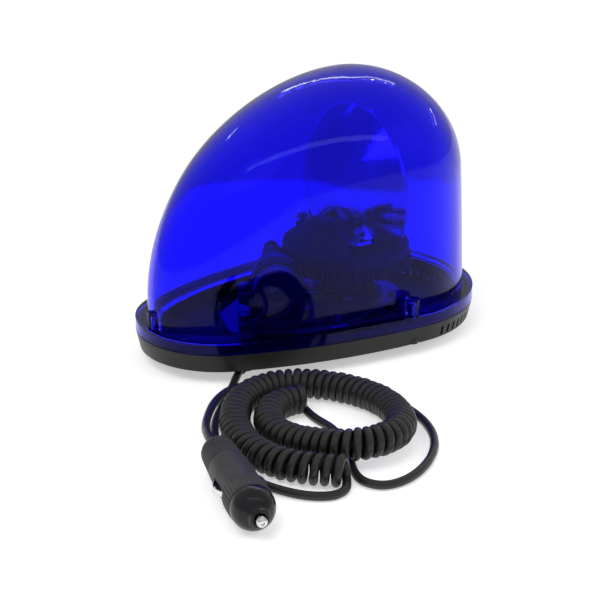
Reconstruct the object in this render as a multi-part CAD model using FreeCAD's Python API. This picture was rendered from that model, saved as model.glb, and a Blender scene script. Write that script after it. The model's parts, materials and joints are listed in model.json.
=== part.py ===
"""Magnetic rotating beacon with a teardrop dome, a worm-driven reflector, a curly cord and a lighter plug.

Millimetres, +Z up. The origin is on the standing surface, under the middle of the base.
The nose of the teardrop points to -X and its round tail to +X.
"""
import FreeCAD, Part
import math
import os

V = FreeCAD.Vector
UP = V(0, 0, 1)

# ---- base outline, seen from above: a nose circle and a tail circle joined by two long flank arcs ----
LENGTH = 186.0
TAIL_R = 59.1
NOSE_R = 42.7
TAIL_X = LENGTH / 2 - TAIL_R
NOSE_X = NOSE_R - LENGTH / 2
FLANK_R = ((TAIL_X - NOSE_X) ** 2 + TAIL_R ** 2 - NOSE_R ** 2) / (2 * (TAIL_R - NOSE_R))

# ---- clearances ----
RUN = 0.05          # radial gap of a shaft that turns in its hole
SNUG = 0.02         # gap between pieces that are pressed or screwed together
LOOSE = 0.15        # gap round a screw shank or in a guide
AIR = 0.4           # gap between pieces that must not touch

# ---- magnet foot ----
MAGNET_X = 8.0
BOOT_FLOOR = 1.5
BOOT_WALL = 1.2
BOOT_LIP = 3.4
CUP_R = 38.0
CUP_H = 5.0
CUP_T = 1.2
RING_BORE_R = 12.0
FOOT_BOLT_R = 2.5
FOOT_HEAD_R = 4.6
FOOT_HEAD_H = 2.6
FOOT_WASHER_R = 6.0
FOOT_WASHER_T = 1.0
FOOT_NUT_AF = 8.0
FOOT_NUT_H = 4.0

# ---- base pan ----
PAN_Z = BOOT_FLOOR + CUP_H
PAN_FLOOR = 2.2
PAN_WALL_H = 9.4
PAN_TAPER = 2.0
RIM_T = 2.0
GASKET_T = 1.0
SLOT_W = 1.7
SLOT_H = 4.6
SLOT_LIFT = 1.0
SLOT_PITCH = 4.55
SLOT_SPAN = 79.6

# ---- lens: flange, skirt, dome and screw bosses ----
FLANGE_T = 2.2
SKIRT_H = 5.8
SKIRT_T = 2.0
LENS_T = 2.5
LEDGE_TAIL = 4.35
LEDGE_NOSE = 4.55
LEDGE_SIDE = 9.0
DOME_H = 136.8
DOME_LEAN = -10.8
SHOULDER_Z = 87.0
LOWER_BULGE_Z = 57.7
FOOT_R = TAIL_R - LEDGE_SIDE
BULGE_R = FOOT_R + 1.8
SHOULDER_R = FOOT_R + 2.4
DOME_X = LENGTH / 2 - LEDGE_TAIL - FOOT_R
FOOT_NOSE = DOME_X + LENGTH / 2 - LEDGE_NOSE
SHOULDER_NOSE = FOOT_NOSE - 24.6
NOSE_FULLNESS = 0.96
BOSS_R = 3.6
BOSS_H = 8.0
BOSS_NOSE_INSET = 5.4
BOSS_SIDE_INSET = 4.5
BOSS_AT = ((BOSS_NOSE_INSET - LENGTH / 2, 0.0), (TAIL_X - 6.9, TAIL_R - BOSS_SIDE_INSET),
           (TAIL_X - 6.9, BOSS_SIDE_INSET - TAIL_R))
LENS_SCREW_R = 1.6
LENS_HEAD_R = 3.2
LENS_HEAD_H = 2.2
TOWER_R = 4.6

# ---- chassis plate ----
PLATE_LIFT = 6.3
PLATE_T = 1.5
PLATE_OUTLINE = ((30.0, 0.0, 24.0), (-1.5, 30.0, 9.5), (-38.0, 5.0, 9.0), (-45.0, -13.0, 8.0), (-18.0, -32.0, 8.5))
PLATE_SCREWS = ((45.0, 14.0), (45.0, -14.0), (-16.0, 23.0), (2.0, -25.0))
POST_BOSS_R = 4.0
SMALL_SCREW_R = 1.25
SMALL_HEAD_R = 2.5
SMALL_HEAD_H = 1.8
SMALL_SCREW_L = 7.0

# ---- rotor: spindle, bush, turntable with its worm wheel, reflector ----
ROTOR_X = 24.5
SPINDLE_R = 8.5
SPINDLE_BORE = 6.0
SPINDLE_FLANGE_R = 19.0
SPINDLE_FLANGE_T = 2.5
SPINDLE_SCREW_PCR = 15.6
COLUMN_R = 12.0
WHEEL_Z = 34.0
THRUST_T = 0.5
THRUST_GAP = 0.1
BUSH_T = 2.0
BUSH_FLANGE_R = 12.5
BUSH_FLANGE_T = 1.0
BUSH_TOP = 45.0
CLIP_T = 0.8
CLIP_R = 10.0
GROOVE_DEPTH = 0.5
SPINDLE_TOP = 47.0
MODULE = 1.0
WHEEL_TEETH = 66
WHEEL_FACE = 6.0
ADDENDUM = 0.9
DEDENDUM = 1.2
FLANK_ANGLE = 20.0
BACKLASH = 0.2
TABLE_WALL = 2.5
TABLE_DECK_Z = 48.0
TABLE_EDGE_R = 3.0
CONE_TOP_R = 13.5
CONE_TOP_Z = 60.0
HUB_WALL = 2.5
TABLE_RIBS = 6
TABLE_RIB_T = 1.8

FOCAL = 17.8
DISH_R = 41.8
DISH_Z = 74.2
DISH_T = 1.2
DISH_FOOT_Z = 48.6
DISH_LIP = 1.6
LUG_Y = 24.0
LUG_X = -10.5
LUG_T = 1.6
LUG_W = 8.0
LUG_Z = 52.2
LUG_PAD_R = 3.4

# ---- lamp ----
SOCKET_R = 8.5
SOCKET_T = 0.75
SOCKET_TOP = 64.6
SOCKET_FLOOR = 0.8
CAP_R = 7.5
CAP_L = 13.3
BAYONET_R = 1.0
BAYONET_OUT = 0.8
PIN_TO_FILAMENT = 19.0
GLOBE_R = 9.5
NECK_R = 7.0
GLASS_T = 0.7
CONTACT_R = 2.0
INSULATOR_L = 6.0
CONTACT_TAIL = 8.0
POST_R = 0.3
POST_Y = 2.6
COIL_R = 0.6

# ---- drive: worm, motor and its mounts ----
WORM_AT = 150.0
WORM_R = 4.5
WORM_L = 14.0
SHAFT_R = 1.25
MOTOR_R = 12.0
MOTOR_L = 28.0
MOTOR_WALL = 1.0
MOTOR_FROM = 26.0
MOTOR_NECK_R = 3.0
MOTOR_NECK_L = 1.5
END_CAP_T = 2.5
ARMATURE_R = 8.7
ARMATURE_L = 17.0
MAGNET_T = 1.75
TERMINAL_W = 6.0
TERMINAL_OUT = 7.5
CRADLE_L = 18.0
CRADLE_HALF = 19.0
CRADLE_TOP = 35.0
CRADLE_WEB = 13.2
CRADLE_FOOT_T = 3.0
CRADLE_EAR_T = 4.0
STRAP_T = 0.8
STRAP_L = 9.0
STRAP_SCREW_W = 15.9
CRADLE_SCREW_W = CRADLE_WEB + SMALL_HEAD_R + AIR
BEARING_FROM = -15.5
BEARING_T = 4.0
BEARING_R = 4.0

# ---- cord and plug ----
CORD_R = 2.0
COIL_OUT_R = 7.25
EXIT_Z = 3.1
GLAND_AT = (-51.5, -23.0)
GLAND_HEAD_R = 5.4
GLAND_NECK_R = 4.1
GLAND_BOOT_R = 3.0
GLAND_BOOT_L = 8.5
CORD_HEADING = (-0.687, -0.727)
FLOOR_Z = 2.1
RING_Z = 7.3
HOP_Z = 12.2
COIL_ROUTE = (
    (-83.5, -152.3, RING_Z), (-95.5, -142.5, RING_Z), (-103.5, -127.0, RING_Z), (-104.0, -107.5, RING_Z),
    (-95.5, -84.5, RING_Z), (-77.5, -64.5, RING_Z), (-54.0, -62.5, RING_Z), (-36.0, -79.0, RING_Z),
    (-27.0, -103.0, RING_Z), (-33.0, -128.0, 8.3), (-51.5, -146.0, HOP_Z), (-72.0, -144.0, HOP_Z),
    (-84.5, -123.0, 8.3), (-87.5, -105.0, RING_Z), (-79.5, -88.5, RING_Z), (-68.0, -80.5, RING_Z),
    (-58.0, -82.5, RING_Z))
BASE_LEAD_ROUTE = (
    (-57.34, -29.18, EXIT_Z), (-63.5, -35.7, EXIT_Z), (-74.0, -47.5, FLOOR_Z), (-84.5, -58.5, FLOOR_Z),
    (-96.0, -70.8, FLOOR_Z), (-105.3, -85.5, FLOOR_Z), (-111.4, -101.0, FLOOR_Z), (-113.3, -118.0, FLOOR_Z),
    (-112.6, -134.0, FLOOR_Z), (-107.5, -147.0, FLOOR_Z), (-101.0, -156.0, FLOOR_Z), (-93.0, -160.8, FLOOR_Z),
    (-86.0, -159.2, FLOOR_Z), (-81.87, -153.63, FLOOR_Z))
PLUG_LEAD_ROUTE = (
    (-55.94, -82.91, FLOOR_Z), (-58.0, -94.0, FLOOR_Z), (-57.0, -106.5, FLOOR_Z), (-60.5, -121.0, FLOOR_Z),
    (-67.0, -134.5, FLOOR_Z), (-73.5, -146.0, FLOOR_Z), (-76.5, -156.5, FLOOR_Z), (-71.5, -165.0, FLOOR_Z),
    (-60.5, -166.0, FLOOR_Z), (-47.5, -161.0, FLOOR_Z), (-34.5, -151.5, FLOOR_Z), (-24.0, -138.5, FLOOR_Z),
    (-17.5, -122.0, FLOOR_Z), (-16.0, -104.0, FLOOR_Z), (-20.5, -85.0, FLOOR_Z), (-31.0, -68.0, FLOOR_Z),
    (-45.5, -55.0, FLOOR_Z), (-61.5, -50.5, 2.9), (-76.0, -52.8, 6.6), (-90.5, -61.2, 6.6),
    (-102.0, -73.5, 5.6), (-109.6, -85.5, 6.6), (-116.0, -98.77, 10.6), (-118.0, -106.0, 10.6))
WIRE_R = 0.7
GLAND_LOCK_T = 1.8

PLUG_AT = V(-118.0, -106.0, 10.6)
PLUG_HEADING = V(-0.2665, -0.9638, 0).normalize()
RELIEF_L = 6.5
RELIEF_R = 3.5
GRIP_R = 8.6
GRIP_L = 20.0
GRIP_RINGS = 6
GRIP_GROOVE = 0.7
BODY_R = 9.3
BODY_L = 22.0
COLLAR_R = 10.5
COLLAR_L = 10.0
PLUG_NOSE_R = 9.9
NOSE_L = 12.5
TIP_R = 2.2
TIP_OUT = 3.4
TIP_TRAVEL = 2.4
TIP_HEAD_R = 3.4
TIP_HEAD_L = 2.0
TIP_REST = 0.3
SPRING_WIRE_R = 0.35
SPRING_R = 2.4
SHELL_T = 2.0
BOW_FROM = 35.0
BOW_L = 12.0
BOW_W = 4.0
BOW_T = 0.6
BOW_OUT = 1.6
BOW_TRAVEL = 1.2

# ---- heights worked out from the stack ----
SKIRT_Z = PAN_Z + PAN_WALL_H
LEDGE_Z = SKIRT_Z + SKIRT_H
FLANGE_Z = LEDGE_Z - FLANGE_T
RIM_TOP = FLANGE_Z - GASKET_T
PAN_TOP = PAN_Z + PAN_FLOOR
PLATE_Z = PAN_TOP + PLATE_LIFT
PLATE_TOP = PLATE_Z + PLATE_T
RIM_INSET = SKIRT_T + AIR
WHEEL_R = MODULE * WHEEL_TEETH / 2
WORM_Z = WHEEL_Z + WHEEL_FACE / 2
CENTRES = WHEEL_R + WORM_R
TABLE_R = WHEEL_R - AIR
LEAD = math.pi * MODULE
FILAMENT_Z = DISH_Z

nodes = {}


# ---- general helpers ----
def teardrop(inset, z):
    """Closed wire of the base outline at height z, drawn in by inset all round."""
    nose, tail, flank = NOSE_R - inset, TAIL_R - inset, FLANK_R - inset
    centre_y = TAIL_R - FLANK_R
    reach = math.atan2(-centre_y, NOSE_X - TAIL_X)
    join = (NOSE_X + nose * math.cos(reach), nose * math.sin(reach))
    middle = (math.pi / 2 + reach) / 2
    bulge = (TAIL_X + flank * math.cos(middle), centre_y + flank * math.sin(middle))

    def at(x, y):
        return V(x, y, z)

    tail_top, tail_low = at(TAIL_X, tail), at(TAIL_X, -tail)
    return Part.Wire([
        Part.Arc(tail_low, at(TAIL_X + tail, 0), tail_top).toShape(),
        Part.Arc(tail_top, at(*bulge), at(*join)).toShape(),
        Part.Arc(at(*join), at(NOSE_X - nose, 0), at(join[0], -join[1])).toShape(),
        Part.Arc(at(join[0], -join[1]), at(bulge[0], -bulge[1]), tail_low).toShape()])


def ring_face(outer, inner):
    """Flat face between two closed wires, one inside the other."""
    return Part.makeFace([outer, inner], "Part::FaceMakerBullseye")


def slab(inset, z0, z1):
    """Solid of the base outline between two heights."""
    return Part.Face(teardrop(inset, z0)).extrude(V(0, 0, z1 - z0))


def disc(r, z0, z1, x=0.0, y=0.0):
    return Part.makeCylinder(r, z1 - z0, V(x, y, z0), UP)


def tube(r_out, r_in, z0, z1, x=0.0, y=0.0):
    return disc(r_out, z0, z1, x, y).cut(disc(r_in, z0 - 1, z1 + 1, x, y))


def turned(profile, place=None):
    """Solid of revolution about Z from (radius, height) points."""
    points = [V(r, 0, z) for r, z in profile]
    solid = Part.Face(Part.makePolygon(points + points[:1])).revolve(V(0, 0, 0), UP, 360)
    return moved(solid, place) if place else solid


def moved(shape, place):
    copy = shape.copy()
    copy.Placement = place.multiply(copy.Placement)
    return copy


def frame_at(origin, axis, side):
    """Placement whose local Z runs along axis and local X along side."""
    z = V(axis).normalize()
    y = z.cross(V(side)).normalize()
    x = y.cross(z)
    matrix = FreeCAD.Matrix(x.x, y.x, z.x, origin.x, x.y, y.y, z.y, origin.y, x.z, y.z, z.z, origin.z, 0, 0, 0, 1)
    return FreeCAD.Placement(matrix)


def hull_face(circles, z):
    """Face inside the belt drawn round some circles (x, y, r), given anticlockwise."""
    normals = []
    for (x0, y0, r0), (x1, y1, r1) in zip(circles, circles[1:] + circles[:1]):
        span = math.hypot(x1 - x0, y1 - y0)
        normals.append(math.atan2(y1 - y0, x1 - x0) - math.acos((r0 - r1) / span))
    edges = []
    for i, (x, y, r) in enumerate(circles):
        start, end = normals[i - 1], normals[i]
        while end < start:
            end += 2 * math.pi
        a, b, c = (V(x + r * math.cos(t), y + r * math.sin(t), z) for t in (start, (start + end) / 2, end))
        nx, ny, nr = circles[(i + 1) % len(circles)]
        far = V(nx + nr * math.cos(end), ny + nr * math.sin(end), z)
        edges += [Part.Arc(a, b, c).toShape(), Part.LineSegment(c, far).toShape()]
    return Part.Face(Part.Wire(edges))


def screw(head_r, head_h, shank_r, shank_l):
    """Plain pan-head screw along -Z from z = 0, with its head above."""
    head = Part.makeCylinder(head_r, head_h)
    return head.fuse(Part.makeCylinder(shank_r, shank_l, V(0, 0, -shank_l)))


def rounded_path(route):
    """Wire of straight runs joined by tangent arcs, as large as their runs allow, and the arcs' radii."""
    points = [V(*p) for p in route]
    edges, radii = [], []
    here = points[0]
    for before, corner, after in zip(points, points[1:], points[2:]):
        back, on = before - corner, after - corner
        reach = 0.45 * min(back.Length, on.Length)
        half = (math.pi - back.getAngle(on)) / 2
        back.normalize()
        on.normalize()
        radius = reach / math.tan(half)
        start, end = corner + back * reach, corner + on * reach
        centre = corner + (back + on).normalize() * math.hypot(radius, reach)
        middle = centre + (corner - centre).normalize() * radius
        edges += [Part.LineSegment(here, start).toShape(), Part.Arc(start, middle, end).toShape()]
        radii.append(radius)
        here = end
    edges.append(Part.LineSegment(here, points[-1]).toShape())
    return Part.Wire(edges), radii


def cord(name, route, r):
    """Round cord swept along its route. Prints its length, arc radii and volume against section x length."""
    path, radii = rounded_path(route)
    first = V(*route[1]) - V(*route[0])
    section = Part.Wire(Part.Circle(V(*route[0]), first, r).toShape())
    solid = path.makePipeShell([section], True, False)
    ratio = solid.Volume / (math.pi * r * r * path.Length)
    print(f"{name}: length {path.Length:.1f}, radii {min(radii):.1f} to {max(radii):.1f}, volume ratio {ratio:.4f}")
    return solid


def screws_at(places, z, head=(SMALL_HEAD_R, SMALL_HEAD_H), shank=(SMALL_SCREW_R, SMALL_SCREW_L)):
    """Identical vertical screws as one compound, heads seated at height z."""
    return Part.makeCompound([moved(screw(*head, *shank), FreeCAD.Placement(V(x, y, z), FreeCAD.Rotation()))
                              for x, y in places])


# ---- magnet foot ----
def build_magnet_foot():
    boot_r = CUP_R + SNUG + BOOT_WALL
    nodes["magnet_boot"] = disc(boot_r, 0, BOOT_FLOOR + BOOT_LIP, MAGNET_X).cut(
        disc(CUP_R + SNUG, BOOT_FLOOR, PAN_Z, MAGNET_X))
    bolt_hole = disc(FOOT_BOLT_R + LOOSE, 0, PLATE_Z, MAGNET_X)
    nodes["magnet_cup"] = disc(CUP_R, BOOT_FLOOR, PAN_Z, MAGNET_X).cut(
        disc(CUP_R - CUP_T, 0, PAN_Z - CUP_T, MAGNET_X)).cut(bolt_hole)
    nodes["ring_magnet"] = tube(CUP_R - CUP_T - LOOSE, RING_BORE_R, BOOT_FLOOR, PAN_Z - CUP_T, MAGNET_X)
    seat = PAN_Z - CUP_T
    end = PAN_TOP + FOOT_WASHER_T + FOOT_NUT_H + 1
    nodes["magnet_bolt"] = disc(FOOT_HEAD_R, seat - FOOT_HEAD_H, seat, MAGNET_X).fuse(
        disc(FOOT_BOLT_R, seat, end, MAGNET_X))
    nodes["magnet_washer"] = tube(FOOT_WASHER_R, FOOT_BOLT_R + LOOSE, PAN_TOP, PAN_TOP + FOOT_WASHER_T, MAGNET_X)
    corner = FOOT_NUT_AF / 2 / math.cos(math.pi / 6)
    hexagon = [V(MAGNET_X + corner * math.cos(k * math.pi / 3), corner * math.sin(k * math.pi / 3),
                 PAN_TOP + FOOT_WASHER_T) for k in range(7)]
    nut = Part.Face(Part.makePolygon(hexagon)).extrude(V(0, 0, FOOT_NUT_H))
    nodes["magnet_nut"] = nut.cut(disc(FOOT_BOLT_R + SNUG, 0, PLATE_Z, MAGNET_X))


# ---- base pan with its vent slots, screw towers and posts ----
def vent_slots():
    """Upright slots through the wall, all round the tail."""
    count = int(2 * SLOT_SPAN / SLOT_PITCH) + 1
    slots = []
    for k in range(count):
        angle = -SLOT_SPAN + 2 * SLOT_SPAN * k / (count - 1)
        slot = Part.makeBox(RIM_INSET + RIM_T + 2, SLOT_W, SLOT_H, V(TAIL_R - RIM_INSET - RIM_T - 1, -SLOT_W / 2, 0))
        slot.rotate(V(0, 0, 0), UP, angle)
        slot.translate(V(TAIL_X, 0, PAN_Z + SLOT_LIFT))
        slots.append(slot)
    return Part.makeCompound(slots)


def build_pan():
    wall = Part.makeLoft([teardrop(PAN_TAPER, PAN_Z), teardrop(0, SKIRT_Z - AIR)], True, True)
    rim = slab(RIM_INSET, SKIRT_Z - AIR - 1, RIM_TOP)
    inside = slab(RIM_INSET + RIM_T, PAN_TOP, RIM_TOP + 1)
    pan = wall.fuse(rim).cut(inside)
    envelope = wall.fuse(rim)
    for x, y in BOSS_AT:
        pan = pan.fuse(disc(TOWER_R, PAN_Z + 0.5, RIM_TOP, x, y).common(envelope))
    for x, y in PLATE_SCREWS:
        pan = pan.fuse(disc(POST_BOSS_R, PAN_TOP - 0.5, PLATE_Z, x, y))
    for x, y in BOSS_AT:
        pan = pan.cut(disc(LENS_SCREW_R + LOOSE, 0, RIM_TOP + 1, x, y))
        pan = pan.cut(disc(LENS_HEAD_R + AIR, 0, PAN_Z + LENS_HEAD_H + AIR, x, y))
    for x, y in PLATE_SCREWS:
        pan = pan.cut(disc(SMALL_SCREW_R + SNUG, PLATE_Z - SMALL_SCREW_L - 0.5 + PLATE_T, PLATE_Z + 1, x, y))
    pan = pan.cut(disc(FOOT_BOLT_R + LOOSE, 0, PLATE_Z, MAGNET_X))
    pan = pan.cut(disc(GLAND_NECK_R + SNUG, 0, PLATE_Z, *GLAND_AT))
    pan = pan.cut(vent_slots())
    nodes["base_pan"] = pan.removeSplitter()
    seat = ring_face(teardrop(RIM_INSET, RIM_TOP), teardrop(RIM_INSET + RIM_T, RIM_TOP))
    gasket = seat.extrude(V(0, 0, GASKET_T))
    edge = slab(RIM_INSET, RIM_TOP, FLANGE_Z)
    for x, y in BOSS_AT:
        gasket = gasket.fuse(disc(TOWER_R, RIM_TOP, FLANGE_Z, x, y).common(edge))
        gasket = gasket.cut(disc(LENS_SCREW_R + LOOSE, PAN_Z, LEDGE_Z, x, y))
    nodes["lens_gasket"] = gasket.removeSplitter()


# ---- lens ----
def dome_net(wall, side, nose):
    """Control net of one quarter of the dome: rows run up the profile, columns run round the plan."""
    foot, bulge, shoulder = FOOT_R - wall, BULGE_R - wall, SHOULDER_R - wall
    top = DOME_H - wall
    rise = top - SHOULDER_Z
    below = SHOULDER_Z - LOWER_BULGE_Z
    radius = [foot, bulge, shoulder, shoulder + (shoulder - bulge) / below * rise, 0]
    height = [LEDGE_Z, LOWER_BULGE_Z, SHOULDER_Z, top, top]
    reach = radius
    if nose:
        low, high = FOOT_NOSE - wall, SHOULDER_NOSE - wall
        reach = [low, low, high, high - (low - high) / below * rise, 0]
    profile_weight = [1, 1, 1, math.sqrt(0.5), 1]
    corner = math.sqrt(0.5) * (NOSE_FULLNESS if nose else 1)
    plan = [(0, 1, 1), (1, 1, corner), (1, 0, 1)]
    forward = -1 if nose else 1
    poles, weights = [], []
    for r, a, z, w in zip(radius, reach, height, profile_weight):
        middle = DOME_X + DOME_LEAN * (z - LEDGE_Z) / (top - LEDGE_Z)
        poles.append([V(middle + forward * a * px, side * r * py, z) for px, py, _ in plan])
        weights.append([w * pw for _, _, pw in plan])
    return poles, weights


def dome_skin(wall):
    """The four quarter surfaces of the dome, drawn in by the wall thickness."""
    faces = []
    for side in (1, -1):
        for nose in (True, False):
            poles, weights = dome_net(wall, side, nose)
            surface = Part.BSplineSurface()
            surface.buildFromPolesMultsKnots(poles, [3, 2, 3], [3, 3], [0, 0.5, 1], [0, 1], False, False, 2, 2, weights)
            faces.append(surface.toShape())
    return faces


def foot_wire(faces):
    """The closed foot of a dome skin, in the plane of the ledge."""
    level = [e for f in faces for e in f.Edges if abs(e.BoundBox.ZMax - LEDGE_Z) < 1e-6 and e.Length > 1]
    return Part.Wire(Part.__sortEdges__(level))


def build_lens():
    outer, inner = dome_skin(0), dome_skin(LENS_T)
    outer_foot, inner_foot = foot_wire(outer), foot_wire(inner)
    ledge = ring_face(teardrop(0, LEDGE_Z), outer_foot)
    opening = inner_foot.extrude(V(0, 0, -FLANGE_T))
    low_foot = inner_foot.copy()
    low_foot.translate(V(0, 0, -FLANGE_T))
    under = ring_face(teardrop(SKIRT_T, FLANGE_Z), low_foot)
    skirt_out = teardrop(0, SKIRT_Z).extrude(V(0, 0, SKIRT_H))
    skirt_in = teardrop(SKIRT_T, SKIRT_Z).extrude(V(0, 0, FLANGE_Z - SKIRT_Z))
    hem = ring_face(teardrop(0, SKIRT_Z), teardrop(SKIRT_T, SKIRT_Z))
    skin = outer + inner + [ledge, under, hem] + opening.Faces + skirt_out.Faces + skirt_in.Faces
    shell = Part.makeShell(skin)
    shell.sewShape()
    lens = Part.Solid(shell if shell.ShapeType == "Shell" else shell.Shells[0])
    if lens.Volume < 0:
        lens.reverse()
    for x, y in BOSS_AT:
        lens = lens.fuse(disc(BOSS_R, FLANGE_Z + 0.5, LEDGE_Z + BOSS_H, x, y))
    for x, y in BOSS_AT:
        lens = lens.cut(disc(LENS_SCREW_R + SNUG, FLANGE_Z - 1, LEDGE_Z + BOSS_H - 2, x, y))
    nodes["lens_dome"] = lens
    length = LEDGE_Z + BOSS_H - 3 - (PAN_Z + LENS_HEAD_H)
    lens_screw = screw(LENS_HEAD_R, LENS_HEAD_H, LENS_SCREW_R, length)
    upright = FreeCAD.Rotation(V(1, 0, 0), 180)
    nodes["lens_screws"] = Part.makeCompound([
        moved(lens_screw, FreeCAD.Placement(V(x, y, PAN_Z + LENS_HEAD_H + AIR), upright)) for x, y in BOSS_AT])


# ---- chassis plate and spindle ----
def spindle_screw_places():
    return [(ROTOR_X + SPINDLE_SCREW_PCR * math.cos(math.radians(a)), SPINDLE_SCREW_PCR * math.sin(math.radians(a)))
            for a in (0, 120, 240)]


def build_chassis():
    plate = hull_face(PLATE_OUTLINE, PLATE_Z).extrude(V(0, 0, PLATE_T))
    plate = plate.cut(disc(SPINDLE_BORE, 0, WHEEL_Z, ROTOR_X))
    for x, y in PLATE_SCREWS + tuple(spindle_screw_places()) + tuple(cradle_base_screws()):
        plate = plate.cut(disc(SMALL_SCREW_R + LOOSE, 0, WHEEL_Z, x, y))
    nodes["chassis_plate"] = plate
    nodes["chassis_screws"] = screws_at(PLATE_SCREWS, PLATE_TOP)


def build_spindle():
    flange_top = PLATE_TOP + SPINDLE_FLANGE_T
    seat = WHEEL_Z - BUSH_FLANGE_T - THRUST_GAP - THRUST_T
    post = turned([(SPINDLE_BORE, PLATE_TOP), (SPINDLE_FLANGE_R, PLATE_TOP), (SPINDLE_FLANGE_R, flange_top),
                   (COLUMN_R, flange_top), (COLUMN_R, seat), (SPINDLE_R, seat),
                   (SPINDLE_R, BUSH_TOP + AIR), (SPINDLE_R - GROOVE_DEPTH, BUSH_TOP + AIR),
                   (SPINDLE_R - GROOVE_DEPTH, BUSH_TOP + AIR + CLIP_T + SNUG), (SPINDLE_R, BUSH_TOP + AIR + CLIP_T + SNUG),
                   (SPINDLE_R, SPINDLE_TOP), (SPINDLE_BORE, SPINDLE_TOP)])
    rib = Part.Face(Part.makePolygon([
        V(COLUMN_R - 1, -1, flange_top - 0.5), V(SPINDLE_FLANGE_R - 1, -1, flange_top - 0.5),
        V(SPINDLE_FLANGE_R - 1, -1, flange_top + 1), V(COLUMN_R + 0.5, -1, seat - 2), V(COLUMN_R - 1, -1, seat - 2),
        V(COLUMN_R - 1, -1, flange_top - 0.5)])).extrude(V(0, 2, 0))
    for k in range(3):
        copy = rib.copy()
        copy.rotate(V(0, 0, 0), UP, 60 + 120 * k)
        post = post.fuse(copy)
    post.translate(V(ROTOR_X, 0, 0))
    for x, y in spindle_screw_places():
        post = post.cut(disc(SMALL_SCREW_R + LOOSE, 0, flange_top + 1, x, y))
    nodes["spindle"] = post.removeSplitter()
    nodes["spindle_screws"] = screws_at(spindle_screw_places(), flange_top, shank=(SMALL_SCREW_R, SPINDLE_FLANGE_T + 3))
    nodes["thrust_washer"] = tube(COLUMN_R - 0.5, SPINDLE_R + RUN, seat, seat + THRUST_T, ROTOR_X)
    gap = Part.makeBox(CLIP_R + 1, 5, CLIP_T + 2, V(ROTOR_X, -2.5, BUSH_TOP))
    clip = tube(CLIP_R, SPINDLE_R - GROOVE_DEPTH + SNUG, BUSH_TOP + AIR + SNUG / 2, BUSH_TOP + AIR + SNUG / 2 + CLIP_T, ROTOR_X)
    nodes["retaining_clip"] = clip.cut(gap)


# ---- turntable with its worm wheel ----
def wheel_section(z, twist):
    """Toothed outline of the worm wheel at height z, turned by twist radians."""
    slope = math.tan(math.radians(FLANK_ANGLE))
    half = (math.pi * MODULE / 2 - BACKLASH) / 2
    tip, root = WHEEL_R + ADDENDUM, WHEEL_R - DEDENDUM
    tip_half, root_half = half - ADDENDUM * slope, half + DEDENDUM * slope
    points = []
    for k in range(WHEEL_TEETH):
        middle = math.radians(WORM_AT) + 2 * math.pi * k / WHEEL_TEETH + twist
        for r, offset in ((root, -root_half), (tip, -tip_half), (tip, tip_half), (root, root_half)):
            angle = middle + offset / r
            points.append(V(r * math.cos(angle), r * math.sin(angle), z))
    return Part.makePolygon(points + points[:1])


def build_turntable():
    lean = WHEEL_FACE / 2 * LEAD / (2 * math.pi * WORM_R) / WHEEL_R
    wheel = Part.makeLoft([wheel_section(WHEEL_Z, -lean), wheel_section(WHEEL_Z + WHEEL_FACE, lean)], True, True)
    wheel = wheel.cut(disc(WHEEL_R - DEDENDUM - 1, 0, 2 * WHEEL_Z))
    fall = (CONE_TOP_Z - TABLE_DECK_Z) / (TABLE_R - TABLE_EDGE_R - CONE_TOP_R)
    drop = TABLE_WALL * math.hypot(1, fall)
    bore = SPINDLE_R + RUN + BUSH_T + SNUG
    hub = bore + HUB_WALL
    rim_in = WHEEL_R - DEDENDUM - TABLE_WALL

    def cone(r):
        return TABLE_DECK_Z + (TABLE_R - TABLE_EDGE_R - r) * fall

    body = turned([(bore, WHEEL_Z), (hub, WHEEL_Z), (hub, cone(hub) - drop), (rim_in, cone(rim_in) - drop),
                   (rim_in, WHEEL_Z), (WHEEL_R - DEDENDUM, WHEEL_Z), (WHEEL_R - DEDENDUM, WHEEL_Z + WHEEL_FACE),
                   (TABLE_R, WHEEL_Z + WHEEL_FACE), (TABLE_R, TABLE_DECK_Z - TABLE_EDGE_R),
                   (TABLE_R - 0.3 * TABLE_EDGE_R, TABLE_DECK_Z - 0.3 * TABLE_EDGE_R),
                   (TABLE_R - TABLE_EDGE_R, TABLE_DECK_Z), (CONE_TOP_R, CONE_TOP_Z), (bore, CONE_TOP_Z)])
    table = body.fuse(wheel)
    depth = 3.0
    for k in range(TABLE_RIBS):
        rib = Part.Face(Part.makePolygon([
            V(hub - 0.5, 0, cone(hub) - drop - depth - 2), V(rim_in + 0.5, 0, cone(rim_in) - drop - depth),
            V(rim_in + 0.5, 0, cone(rim_in) - drop + 0.5), V(hub - 0.5, 0, cone(hub) - drop + 0.5),
            V(hub - 0.5, 0, cone(hub) - drop - depth - 2)])).extrude(V(0, TABLE_RIB_T, 0))
        rib.translate(V(0, -TABLE_RIB_T / 2, 0))
        rib.rotate(V(0, 0, 0), UP, 360 * k / TABLE_RIBS + 30)
        table = table.fuse(rib)
    pad_foot = cone(math.hypot(LUG_X, LUG_Y) + LUG_PAD_R) - 1.0
    for y in (LUG_Y, -LUG_Y):
        table = table.fuse(disc(LUG_PAD_R, pad_foot, LUG_Z, LUG_X, y))
        table = table.cut(disc(SMALL_SCREW_R + SNUG, LUG_Z - 5, LUG_Z + 1, LUG_X, y))
    table.translate(V(ROTOR_X, 0, 0))
    nodes["turntable"] = table.removeSplitter()
    bush = turned([(SPINDLE_R + RUN, WHEEL_Z - BUSH_FLANGE_T), (BUSH_FLANGE_R, WHEEL_Z - BUSH_FLANGE_T),
                   (BUSH_FLANGE_R, WHEEL_Z), (SPINDLE_R + RUN + BUSH_T, WHEEL_Z), (SPINDLE_R + RUN + BUSH_T, BUSH_TOP),
                   (SPINDLE_R + RUN, BUSH_TOP)])
    bush.translate(V(ROTOR_X, 0, 0))
    nodes["turntable_bush"] = bush


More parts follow.
